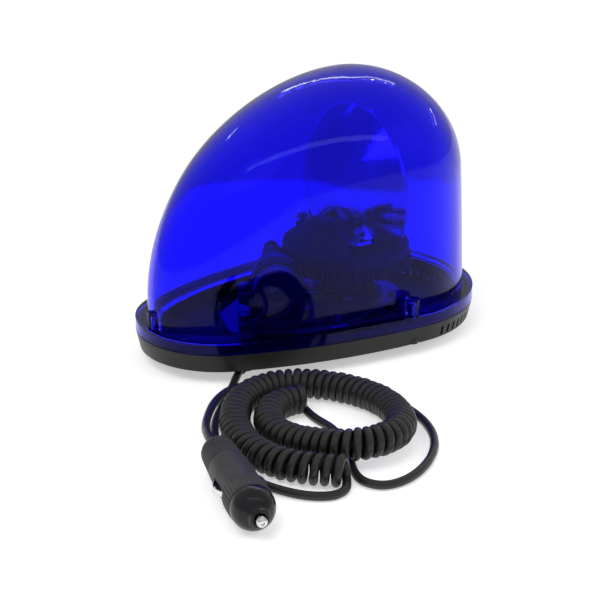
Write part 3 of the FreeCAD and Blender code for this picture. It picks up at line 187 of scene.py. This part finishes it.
def tinted_lens(name, colour, shade, **extra):
    """Clear coloured moulding: the tint is deeper at the rim, and light reaches what is inside."""
    g = Graph(name)
    ripple = g.bump(g.noise(22.0, 2.0), 0.0006, 0.16)
    g.join(ripple, g.shader.inputs["Normal"])
    haze = g.noise(160.0, 6.0)
    g.join(g.spread(haze, 0.5, 0.8, 0.012, 0.06), g.shader.inputs["Roughness"])
    grazing = g.add("ShaderNodeLayerWeight")
    grazing.inputs["Blend"].default_value = 0.5
    rim = g.spread(grazing.outputs["Facing"], 0.5, 0.95, 0.0, 1.0)
    cloud = g.spread(g.noise(30.0, 3.0), 0.3, 0.7, 0.0, 1.0)
    base = g.blend(cloud, tone(colour, 0.97), tone(colour, 1.03))
    g.join(g.blend(rim, base, tone(colour, RIM_TONE)), g.shader.inputs["Base Color"])
    g.set(**extra)
    clear = g.add("ShaderNodeBsdfTransparent")
    clear.inputs["Color"].default_value = (*shade, 1.0)
    mix = g.add("ShaderNodeMixShader")
    rays = g.add("ShaderNodeLightPath")
    g.join(rays.outputs["Is Shadow Ray"], mix.inputs[0])
    g.join(g.shader.outputs[0], mix.inputs[1])
    g.join(clear.outputs[0], mix.inputs[2])
    g.join(mix.outputs[0], g.out.inputs[0])
    return g.material


def clear_glass(name):
    """Bulb glass: faint ripple and haze."""
    g = Graph(name)
    g.join(g.spread(g.noise(90.0), 0.3, 0.8, 0.0, 0.03), g.shader.inputs["Roughness"])
    g.join(g.bump(g.noise(60.0, 2.0), 0.0002, 0.1), g.shader.inputs["Normal"])
    g.shader.inputs["Base Color"].default_value = (0.97, 0.975, 0.98, 1.0)
    g.set(Transmission_Weight=1.0, IOR=1.35)
    return g.material


looks = {
    "boot_rubber": plastic("m_boot_rubber", (0.014, 0.014, 0.015), rough=0.62, grain=900.0,
                           grain_depth=0.00006, Specular_IOR_Level=0.35),
    "base_plastic": plastic("m_base_plastic", (0.011, 0.011, 0.011), rough=0.40, grain=2400.0,
                            grain_depth=0.000006, wear=2.2, Specular_IOR_Level=0.28),
    "lens_blue": tinted_lens("m_lens_blue", (0.065, 0.045, 0.97), (0.09, 0.07, 0.972),
                             Transmission_Weight=1.0, IOR=1.28, Specular_Tint=(0.62, 0.62, 1.0, 1.0)),
    "frame_plastic": plastic("m_frame_plastic", (0.016, 0.016, 0.018), rough=0.38, grain=1500.0,
                             grain_depth=0.000004, wear=1.8, Specular_IOR_Level=0.4),
    # Zinc steel: dull zinc grey, darkened below bare zinc as painted shade for the metal parts inside the
    # lens.
    "zinc_steel": metal("m_zinc_steel_painted_shade", (0.34, 0.34, 0.34), 0.36),
    "mirror": metal("m_mirror", (0.86, 0.86, 0.87), 0.12, brushed=(1, 1, 1)),
    "brass": metal("m_brass", (0.70, 0.50, 0.22), 0.27),
    "nickel": metal("m_nickel", (0.74, 0.73, 0.71), 0.20),
    "ferrite": plastic("m_ferrite", (0.05, 0.05, 0.055), rough=0.5, grain=2500.0, grain_depth=0.00005),
    "wire_skin": plastic("m_wire_skin", (0.30, 0.03, 0.025), rough=0.4),
    "cord_skin": plastic("m_cord_skin", (0.013, 0.0125, 0.012), rough=0.40, grain=1100.0,
                         wear=1.6, edge=0.0002, Specular_IOR_Level=0.45),
    "plug_plastic": plastic("m_plug_plastic", (0.028, 0.028, 0.031), rough=0.50, grain=1300.0,
                            grain_depth=0.00005, wear=1.7, Specular_IOR_Level=0.4),
    "nose_plastic": plastic("m_nose_plastic", (0.006, 0.006, 0.008), rough=0.22, grain=900.0,
                            grain_depth=0.00001, wear=1.4, Specular_IOR_Level=0.3),
    "copper": metal("m_copper", (0.62, 0.27, 0.14), 0.35),
    "clear_glass": clear_glass("m_clear_glass"),
}


def dress(obj, look):
    """Gives every slot of obj that material."""
    if not obj.material_slots:
        obj.data.materials.append(look)
    for place in obj.material_slots:
        place.link = "OBJECT"
        place.material = look


for name, obj in nodes.items():
    dress(obj, looks[slot_of[name]])


def ride_on(piece, body, look):
    """Gives a new piece its material and slot, and the body that it rides on."""
    piece.data.materials.append(looks[look])
    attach(piece, body)


# ---- cord: route points in millimetres ----
CORD_D = 3.9 * mm
HELIX_R = 5.2
TURNS = 79
PER_TURN = 14
OPEN_PITCH = 1.12      # the first turns are pulled open a little
TIGHT_PITCH = 0.97
OPEN_SHARE = 0.35      # share of the turns over which the pitch closes up
LEAD_IN = 2.1          # how far the helix reaches past both ends of its route
SWELL = 0.02           # turns differ a little in size
SWELL_WAVES = 0.37
FLOOR = 2.1
RING = 7.35
RISE = 8.4
HOP = 11.9             # the coil's end lies across its own first turns
HUMP = 6.6
COIL_ROUTE = [
    (-83.5, -152.3, RING), (-95.5, -142.5, RING), (-103.5, -127.0, RING), (-104.0, -107.5, RING),
    (-95.5, -84.5, RING), (-77.5, -64.5, RING), (-54.0, -62.5, RING), (-36.0, -79.0, RING),
    (-27.0, -103.0, RING), (-33.0, -128.0, RISE), (-51.5, -146.0, HOP), (-72.0, -144.0, HOP),
    (-84.5, -123.0, RISE), (-87.5, -105.0, RING), (-79.5, -88.5, RING), (-68.0, -80.5, RING),
    (-58.0, -82.5, RING)]
BASE_LEAD_ROUTE = [
    (-57.34, -29.18, 3.1), (-63.5, -35.7, 3.1), (-74.0, -47.5, FLOOR), (-84.5, -58.5, FLOOR),
    (-96.0, -70.8, FLOOR), (-105.3, -85.5, FLOOR), (-111.4, -101.0, FLOOR), (-113.3, -118.0, FLOOR),
    (-112.6, -134.0, FLOOR), (-107.5, -147.0, FLOOR), (-101.0, -156.0, FLOOR), (-93.0, -160.8, FLOOR),
    (-86.0, -159.2, FLOOR), (-81.87, -153.63, FLOOR)]
PLUG_LEAD_ROUTE = [
    (-55.94, -82.91, FLOOR), (-58.0, -94.0, FLOOR), (-57.0, -106.5, FLOOR), (-60.5, -121.0, FLOOR),
    (-67.0, -134.5, FLOOR), (-73.5, -146.0, FLOOR), (-76.5, -156.5, FLOOR), (-71.5, -165.0, FLOOR),
    (-60.5, -166.0, FLOOR), (-47.5, -161.0, FLOOR), (-34.5, -151.5, FLOOR), (-24.0, -138.5, FLOOR),
    (-17.5, -122.0, FLOOR), (-16.0, -104.0, FLOOR), (-20.5, -85.0, FLOOR), (-31.0, -68.0, FLOOR),
    (-45.5, -55.0, FLOOR), (-61.5, -50.5, 2.9), (-76.0, -52.8, HUMP), (-90.5, -61.2, HUMP),
    (-102.0, -73.5, 5.6), (-109.6, -85.5, HUMP), (-116.0, -98.77, 10.6), (-118.0, -106.0, 10.6)]


def nurbs(name, points, detail):
    """Curve object of one open NURBS spline with these control points, in millimetres."""
    data = bpy.data.curves.new(name, "CURVE")
    data.dimensions = "3D"
    spline = data.splines.new("NURBS")
    spline.points.add(len(points) - 1)
    for control, point in zip(spline.points, points):
        control.co = (point[0] * mm, point[1] * mm, point[2] * mm, 1.0)
    spline.order_u = 3
    spline.use_endpoint_u = True
    spline.resolution_u = detail
    data.resolution_u = detail
    return add_object(name, data)


def centreline(points):
    """Points along the smooth line of a route, in millimetres."""
    guide = nurbs("guide", points, 24)
    mesh = bpy.data.meshes.new_from_object(guide)
    line = [v.co / mm for v in mesh.vertices]
    bpy.data.objects.remove(guide)
    bpy.data.meshes.remove(mesh)
    return line


def pitch_steps(count):
    """Share of the way that each control point of the helix has come."""
    reached = [0.0]
    for k in range(count):
        closing = min(1.0, k / (OPEN_SHARE * count))
        reached.append(reached[-1] + OPEN_PITCH + (TIGHT_PITCH - OPEN_PITCH) * closing)
    return reached


def helix_points(route):
    """Control points of a left-handed helix round the route, which starts and ends at its underside."""
    line = centreline(route)
    start = line[0] - (line[1] - line[0]).normalized() * LEAD_IN
    end = line[-1] + (line[-1] - line[-2]).normalized() * LEAD_IN
    line = [start] + line + [end]
    steps = [0.0]
    for a, b in zip(line, line[1:]):
        steps.append(steps[-1] + (b - a).length)
    count = TURNS * PER_TURN
    reached = pitch_steps(count)
    down = Vector((0, 0, -1))
    points = []
    at = 0
    for k in range(count + 1):
        s = steps[-1] * reached[k] / reached[-1]
        while at < len(line) - 2 and steps[at + 1] < s:
            at += 1
        centre = line[at].lerp(line[at + 1], (s - steps[at]) / (steps[at + 1] - steps[at]))
        ahead = (line[min(at + 2, len(line) - 1)] - line[max(at - 1, 0)]).normalized()
        low = (down - ahead * down.dot(ahead)).normalized()
        side = low.cross(ahead)
        angle = 2 * math.pi * k / PER_TURN
        swell = 1.0 + SWELL * math.sin(SWELL_WAVES * k / PER_TURN * 2 * math.pi)
        reach = HELIX_R * swell / math.cos(math.pi / PER_TURN) ** 0.5
        points.append(centre + (low * math.cos(angle) + side * math.sin(angle)) * reach)
    return points


def build_cord():
    turns = [tuple(point) for point in helix_points(COIL_ROUTE)]
    cord = nurbs("cord", BASE_LEAD_ROUTE[:-1] + turns + PLUG_LEAD_ROUTE[1:], 6)
    cord.data.bevel_depth = CORD_D / 2
    cord.data.bevel_resolution = 3
    cord.data.use_fill_caps = True
    ride_on(cord, HOUSING, "cord_skin")
    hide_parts("base_lead", "curly_cord", "plug_lead")


# ---- turned and swept pieces ----
def rings_object(name, rings, form, sharp, ends=False):
    """Object from rings of points, each joined to the next; a ring of one point closes an end."""
    turn = max(len(ring) for ring in rings)
    for low, high in zip(rings, rings[1:]):
        for k in range(turn):
            n = (k + 1) % turn
            if len(low) == 1:
                form.faces.new((low[0], high[n], high[k]))
            elif len(high) == 1:
                form.faces.new((low[k], low[n], high[0]))
            else:
                form.faces.new((low[k], low[n], high[n], high[k]))
    if ends:
        form.faces.new(rings[0])
        form.faces.new(rings[-1])
    bmesh.ops.recalc_face_normals(form, faces=form.faces)
    mesh = bpy.data.meshes.new(name)
    form.to_mesh(mesh)
    form.free()
    for face in mesh.polygons:
        face.use_smooth = True
    mesh.set_sharp_from_angle(angle=math.radians(sharp))
    return add_object(name, mesh)


def lathe(name, profile, place, angles, carve=None):
    """Turned piece: profile holds (radius, height) in mm, and carve may make a radius smaller."""
    form = bmesh.new()
    rings = []
    for radius, height in profile:
        ring = []
        for angle in angles if radius else [0.0]:
            r = carve(angle, radius, height) if carve and radius else radius
            ring.append(form.verts.new(place @ Vector((r * math.cos(angle), r * math.sin(angle), height))))
        rings.append(ring)
    return rings_object(name, rings, form, 32)


def even(count):
    """That many angles, evenly round the circle."""
    return [2 * math.pi * k / count for k in range(count)]


# ---- lighter plug: heights in millimetres from the end of the cord ----
PLUG_AT = Vector(PLUG_LEAD_ROUTE[-1])
PLUG_AHEAD = Vector((-0.2665, -0.9638, 0.0)).normalized()
RELIEF_END = 6.5
GRIP_END = 26.5
BODY_END = 48.5
COLLAR_END = 58.5
NOSE_END = 71.0
TIP_END = 74.4
GRIP_RIBS = 6
RIB_PITCH = 2.45
BARREL_R = 8.7
SEAM_DEPTH = 0.16
SEAM_HALF = 0.08
SLOT_HALF = 1.7
SLOT_R = 6.1
SLOT_MARGIN = 0.35
BOW_FROM = 35.0
BOW_TO = 47.0
BOW_HALF = 1.2
BOW_T = 0.5
BOW_PEAK = 10.9
BOW_FOOT = 7.6
BOW_STEPS = 28
FLUTES = 34
FLUTE_DEPTH = 0.36
FLUTE_MARGIN = 1.1
FLUTED_R = 9.4
SEAT = 0.15            # gap between pieces that are screwed together


def plug_place():
    """Turns the plug's own axes (Z ahead, X to its side) into metres in the shared frame."""
    side = Vector((PLUG_AHEAD.y, -PLUG_AHEAD.x, 0.0))
    up = PLUG_AHEAD.cross(side)
    turn = Matrix((side, up, PLUG_AHEAD)).transposed().to_4x4()
    return Matrix.Scale(mm, 4) @ Matrix.Translation(PLUG_AT) @ turn


def plug_piece(name, node, profile, look, angles, carve=None, body=HOUSING):
    piece = lathe(name, profile, plug_place(), angles, carve)
    ride_on(piece, body, look)
    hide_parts(node)


def grip_profile():
    """Back of the plug: rounded heel, six rounded ribs, then the smooth barrel."""
    line = [(0, RELIEF_END + SEAT), (4.6, RELIEF_END + SEAT), (6.0, RELIEF_END + 0.5),
            (6.9, RELIEF_END + 1.3), (7.35, RELIEF_END + 2.4)]
    start = RELIEF_END + 3.2
    for k in range(GRIP_RIBS):
        z = start + k * RIB_PITCH
        r = 7.5 + 0.14 * k
        line += [(r - 0.1, z), (r, z + 0.35), (r + 0.05, z + 0.8), (r, z + 1.25), (r - 0.15, z + 1.55),
                 (r - 0.6, z + 1.75), (r - 0.65, z + 2.05), (r - 0.5, z + 2.3)]
    line += [(8.35, start + GRIP_RIBS * RIB_PITCH + 0.2), (8.5, GRIP_END), (BARREL_R, BOW_FROM - 0.4),
             (BARREL_R, BOW_FROM - 0.3), (8.75, BOW_TO + 0.3), (8.75, BOW_TO + 0.4), (8.8, BODY_END - 0.3),
             (8.65, BODY_END), (6.0, BODY_END), (0, BODY_END)]
    return line


def barrel_carve(angle, radius, height):
    """Slots for the two side contacts, and the seam where the halves of the plug meet."""
    side = abs(math.sin(angle)) * radius
    if side < SLOT_HALF + 0.02 and BOW_FROM - SLOT_MARGIN < height < BOW_TO + SLOT_MARGIN:
        return SLOT_R
    if side < SEAM_HALF and radius > 6:
        return radius - SEAM_DEPTH
    return radius


def barrel_angles():
    """Even turns, with close pairs at the slots' edges and the seam."""
    slot = math.asin(SLOT_HALF / BARREL_R)
    turns = [a for a in even(96) if abs(math.sin(a)) > math.sin(slot) + 0.02 or abs(math.sin(a)) < 0.2]
    for centre in (0.0, math.pi):
        for sign in (-1, 1):
            turns += [centre + sign * slot, centre + sign * (slot + 0.012), centre + sign * 0.03]
    return sorted(set(round(a % (2 * math.pi), 6) for a in turns))


def flute_carve(angle, radius, height):
    """Shallow flutes round the ring, which stop short of its two ends."""
    if radius < FLUTED_R or not BODY_END + FLUTE_MARGIN < height < COLLAR_END - FLUTE_MARGIN:
        return radius
    return radius - FLUTE_DEPTH * (0.5 + 0.5 * math.cos(FLUTES * angle)) ** 2


def build_bow(name, node, side, body):
    """Sprung side contact: a narrow bent strip with rounded edges, highest in its middle."""
    place = plug_place()
    form = bmesh.new()
    rings = []
    round_off = 0.15
    flat = BOW_HALF - round_off
    section = [(-BOW_HALF, 0.12), (-flat, 0.0), (flat, 0.0), (BOW_HALF, 0.12),
               (BOW_HALF, 0.38), (flat, BOW_T), (-flat, BOW_T), (-BOW_HALF, 0.38)]
    for k in range(BOW_STEPS + 1):
        t = k / BOW_STEPS
        rise = math.sin(math.pi * t) ** 0.8 if 0 < t < 1 else 0.0
        out = BOW_FOOT + (BOW_PEAK - BOW_T - BOW_FOOT) * rise
        z = BOW_FROM + (BOW_TO - BOW_FROM) * t
        rings.append([form.verts.new(place @ Vector((side * (out + h), w, z))) for w, h in section])
    bow = rings_object(name, rings, form, 40, ends=True)
    ride_on(bow, body, "nickel")
    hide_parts(node)


def build_plug():
    plug_piece("plug_relief_skin", "plug_relief", [
        (0, -0.6), (2.2, -0.6), (2.55, -0.2), (2.65, 0.8), (2.35, 1.0), (2.35, 1.5), (2.75, 1.7), (2.8, 2.6),
        (2.5, 2.8), (2.5, 3.3), (2.95, 3.5), (3.0, 4.6), (2.7, 4.8), (2.7, 5.3), (3.3, 5.6),
        (3.4, RELIEF_END + 0.1), (0, RELIEF_END + 0.1)], "cord_skin", even(40))
    plug_piece("plug_barrel", "plug_body", grip_profile(), "plug_plastic", barrel_angles(), barrel_carve)
    plug_piece("plug_fluted_ring", "plug_collar", [
        (6.0, BODY_END + SEAT), (9.1, BODY_END + SEAT), (9.35, BODY_END + 0.5), (9.46, BODY_END + 1.2),
        (9.5, BODY_END + 1.6), (9.5, COLLAR_END - 1.6), (9.46, COLLAR_END - 1.2), (9.3, COLLAR_END - 0.4),
        (9.0, COLLAR_END), (6.0, COLLAR_END), (6.0, BODY_END + SEAT)],
        "plug_plastic", even(FLUTES * 8), flute_carve)
    plug_piece("plug_cap", "plug_nose", [
        (0, COLLAR_END + SEAT), (8.75, COLLAR_END + SEAT), (9.05, COLLAR_END + 0.4), (9.15, COLLAR_END + 0.9),
        (9.15, COLLAR_END + 2.6), (8.9, COLLAR_END + 4.3), (8.3, COLLAR_END + 6.0), (7.4, COLLAR_END + 7.6),
        (6.3, COLLAR_END + 8.8), (5.3, COLLAR_END + 9.5), (4.6, COLLAR_END + 9.9), (4.3, COLLAR_END + 10.3),
        (4.15, COLLAR_END + 11.2), (3.95, NOSE_END - 0.3), (3.6, NOSE_END), (2.75, NOSE_END),
        (2.6, NOSE_END - 0.4), (2.6, NOSE_END - 5.8), (0, NOSE_END - 5.8)], "nose_plastic", even(80))
    plug_piece("plug_pin", "plug_tip", [
        (0, NOSE_END - 2.6), (2.2, NOSE_END - 2.6), (2.2, TIP_END - 1.3), (2.05, TIP_END - 0.7),
        (1.7, TIP_END - 0.25), (1.2, TIP_END), (0.85, TIP_END), (0.7, TIP_END - 0.15), (0.6, TIP_END - 0.7),
        (0, TIP_END - 0.85)], "nickel", even(48), body="tip")
    build_bow("contact_bow_a", "side_contact_a", 1, "contact_a")
    build_bow("contact_bow_b", "side_contact_b", -1, "contact_b")


build_plug()
build_cord()


# ---- caps over the heads of the lens screws, in the recesses under the base ----
SCREW_AT = ((-87.6, 0.0), (27.0, 54.6), (27.0, -54.6))
CAP_PROFILE = ((0, 6.55), (3.2, 6.55), (3.42, 6.62), (3.5, 6.8), (3.5, 9.0), (3.42, 9.05), (3.25, 9.05),
               (3.25, 6.87), (0, 6.87))


def build_screw_caps():
    for k, (x, y) in enumerate(SCREW_AT):
        place = Matrix.Scale(mm, 4) @ Matrix.Translation((x, y, 0))
        cap = lathe("screw_cap_%d" % (k + 1), CAP_PROFILE, place, even(48))
        ride_on(cap, HOUSING, "base_plastic")


build_screw_caps()


# ---- floor, camera and light ----
FLOOR_SIZE = 12.0
FLOOR_GLOW = 0.45
FAR_FROM = 0.275                      # beyond this the floor is darker through the lens
FAR_FULL = 0.287
WORLD_LEVELS = (("Is Camera Ray", 1.0), ("Is Transmission Ray", 0.6), ("Is Glossy Ray", 0.5))
WORLD_LIGHT = 0.55
LIT = (0.0, 0.0, 0.05)                # what the soft lamps point at
DOME_AT = Vector((0.02, -0.02, 0.11))
STRIP_REACH = 1.4
STREAKS = (      # name, directions of its two ends, width in metres and glow
    ("streak_1", (0.23, 0.85, 0.47), (0.45, 0.57, 0.69), 0.050, 6.5),
    ("streak_2", (0.45, 0.57, 0.69), (0.72, 0.41, 0.56), 0.050, 6.5),
    ("streak_3", (-0.58, -0.12, 0.81), (0.38, -0.71, 0.595), 0.110, 1.9),
    ("streak_4", (0.914, 0.249, 0.321), (0.956, -0.018, 0.292), 0.024, 9.0),
    ("streak_5", (-0.16, 0.80, 0.57), (0.02, 0.83, 0.55), 0.036, 7.0))
DOTS = 8
DOTS_FROM = Vector((0.51, 0.485, 0.711))
DOTS_TO = Vector((0.809, 0.27, 0.522))
DOT_HEIGHT = Vector((0.0, 0.0, 0.008))
DOT_WIDTH = 0.010
DOT_GLOW = 160.0
CAMERA_AT = (-0.42168, -0.63344, 0.30266)
CAMERA_AHEAD = Vector((0.5271, 0.7918, -0.3087))
FAR_AHEAD = Vector((CAMERA_AHEAD.x, CAMERA_AHEAD.y, 0.0)).normalized()
CAMERA_LENS = 94.64
CAMERA_SHIFT = (-0.0096, -0.1176)


def build_floor():
    """Pale floor that is white to the camera but keeps the shadow, and is darker far off through the lens."""
    g = Graph("m_floor")
    g.set(Roughness=0.9, Specular_IOR_Level=0.0, Emission_Color=(1, 1, 1, 1))
    cloud = g.spread(g.noise(3.0), 0.3, 0.7, 0.0, 1.0)
    g.join(g.blend(cloud, (0.86, 0.86, 0.86), (0.88, 0.88, 0.88)), g.shader.inputs["Base Color"])
    rays = g.add("ShaderNodeLightPath")
    through = rays.outputs["Is Transmission Ray"]
    seen = g.math("MAXIMUM", rays.outputs["Is Camera Ray"],
                  g.math("MAXIMUM", rays.outputs["Is Glossy Ray"], through))
    far = g.add("ShaderNodeVectorMath", operation="DOT_PRODUCT")
    g.join(g.place, far.inputs[0])
    far.inputs[1].default_value = FAR_AHEAD
    dim = g.spread(far.outputs["Value"], FAR_FROM, FAR_FULL, 1.0, 0.0)
    level = g.math("ADD", g.math("SUBTRACT", 1.0, through), g.math("MULTIPLY", through, dim))
    glow = g.math("MULTIPLY", g.math("MULTIPLY", seen, FLOOR_GLOW), level)
    g.join(glow, g.shader.inputs["Emission Strength"])
    mesh = bpy.data.meshes.new("floor")
    h, z = FLOOR_SIZE / 2, -0.0002
    mesh.from_pydata([(-h, -h, z), (h, -h, z), (h, h, z), (-h, h, z)], [], [(0, 1, 2, 3)])
    floor = add_object("floor", mesh)
    floor.data.materials.append(g.material)


def world_math(tree, operation, a, b):
    """Math node in the world's tree, between a socket and a socket or number."""
    node = tree.nodes.new("ShaderNodeMath")
    node.operation = operation
    tree.links.new(a, node.inputs[0])
    if isinstance(b, float):
        node.inputs[1].default_value = b
    else:
        tree.links.new(b, node.inputs[1])
    return node.outputs[0]


def build_world():
    """White to the camera, lower through the lens and in gloss, and soft light for everything else."""
    world = bpy.data.worlds.new("studio")
    bpy.context.scene.world = world
    world.use_nodes = True
    tree = world.node_tree
    tree.nodes.clear()
    out = tree.nodes.new("ShaderNodeOutputWorld")
    back = tree.nodes.new("ShaderNodeBackground")
    rays = tree.nodes.new("ShaderNodeLightPath")
    back.inputs["Color"].default_value = (1, 1, 1, 1)
    camera, lens, gloss = (
        world_math(tree, "MULTIPLY", rays.outputs[ray], level) for ray, level in WORLD_LEVELS)
    highest = world_math(tree, "MAXIMUM", world_math(tree, "MAXIMUM", camera, lens), gloss)
    tree.links.new(world_math(tree, "MAXIMUM", highest, WORLD_LIGHT), back.inputs["Strength"])
    tree.links.new(back.outputs[0], out.inputs[0])


def area_lamp(name, size, size_y, power):
    data = bpy.data.lights.new(name, "AREA")
    data.shape = "RECTANGLE"
    data.size = size
    data.size_y = size_y
    data.energy = power
    return add_object(name, data)


def soft_lamp(name, at, size, power):
    """Square lamp for the light itself, which gloss doesn't show."""
    lamp = area_lamp(name, size, size, power)
    lamp.location = at
    lamp.rotation_euler = (Vector(LIT) - Vector(at)).to_track_quat("-Z", "Y").to_euler()
    lamp.visible_glossy = False


def strip(name, start, end, width, glow):
    """Narrow lamp between two directions from the dome, which only gloss shows, as a streak."""
    a, b = (DOME_AT + Vector(p) * STRIP_REACH for p in (start, end))
    middle = (a + b) / 2
    away = (middle - DOME_AT).normalized()
    across = away.cross((b - a).normalized()).normalized()
    along = across.cross(away)
    length = (b - a).length
    lamp = area_lamp(name, length, width, glow * math.pi * length * width)
    turn = Matrix((along, away.cross(along), away)).transposed().to_4x4()
    lamp.matrix_world = Matrix.Translation(middle) @ turn
    lamp.visible_diffuse = False


def build_lamps():
    soft_lamp("key", (-0.9, -0.5, 1.3), 0.9, 9.0)
    soft_lamp("fill", (0.9, -1.0, 0.9), 0.8, 5.0)
    for streak in STREAKS:
        strip(*streak)
    for k in range(DOTS):
        spot = DOTS_FROM.lerp(DOTS_TO, k / (DOTS - 1)).normalized()
        strip("dot_%d" % k, spot, spot + DOT_HEIGHT, DOT_WIDTH, DOT_GLOW)


def build_camera():
    data = bpy.data.cameras.new("camera")
    data.lens = CAMERA_LENS
    data.sensor_width = 36.0
    data.shift_x, data.shift_y = CAMERA_SHIFT
    data.clip_start = 0.01
    data.clip_end = 50.0
    camera = add_object("camera", data)
    camera.location = CAMERA_AT
    camera.rotation_euler = CAMERA_AHEAD.to_track_quat("-Z", "Y").to_euler()
    bpy.context.scene.camera = camera


build_floor()
build_world()
build_camera()
build_lamps()

bpy.context.scene.view_settings.view_transform = "Standard"
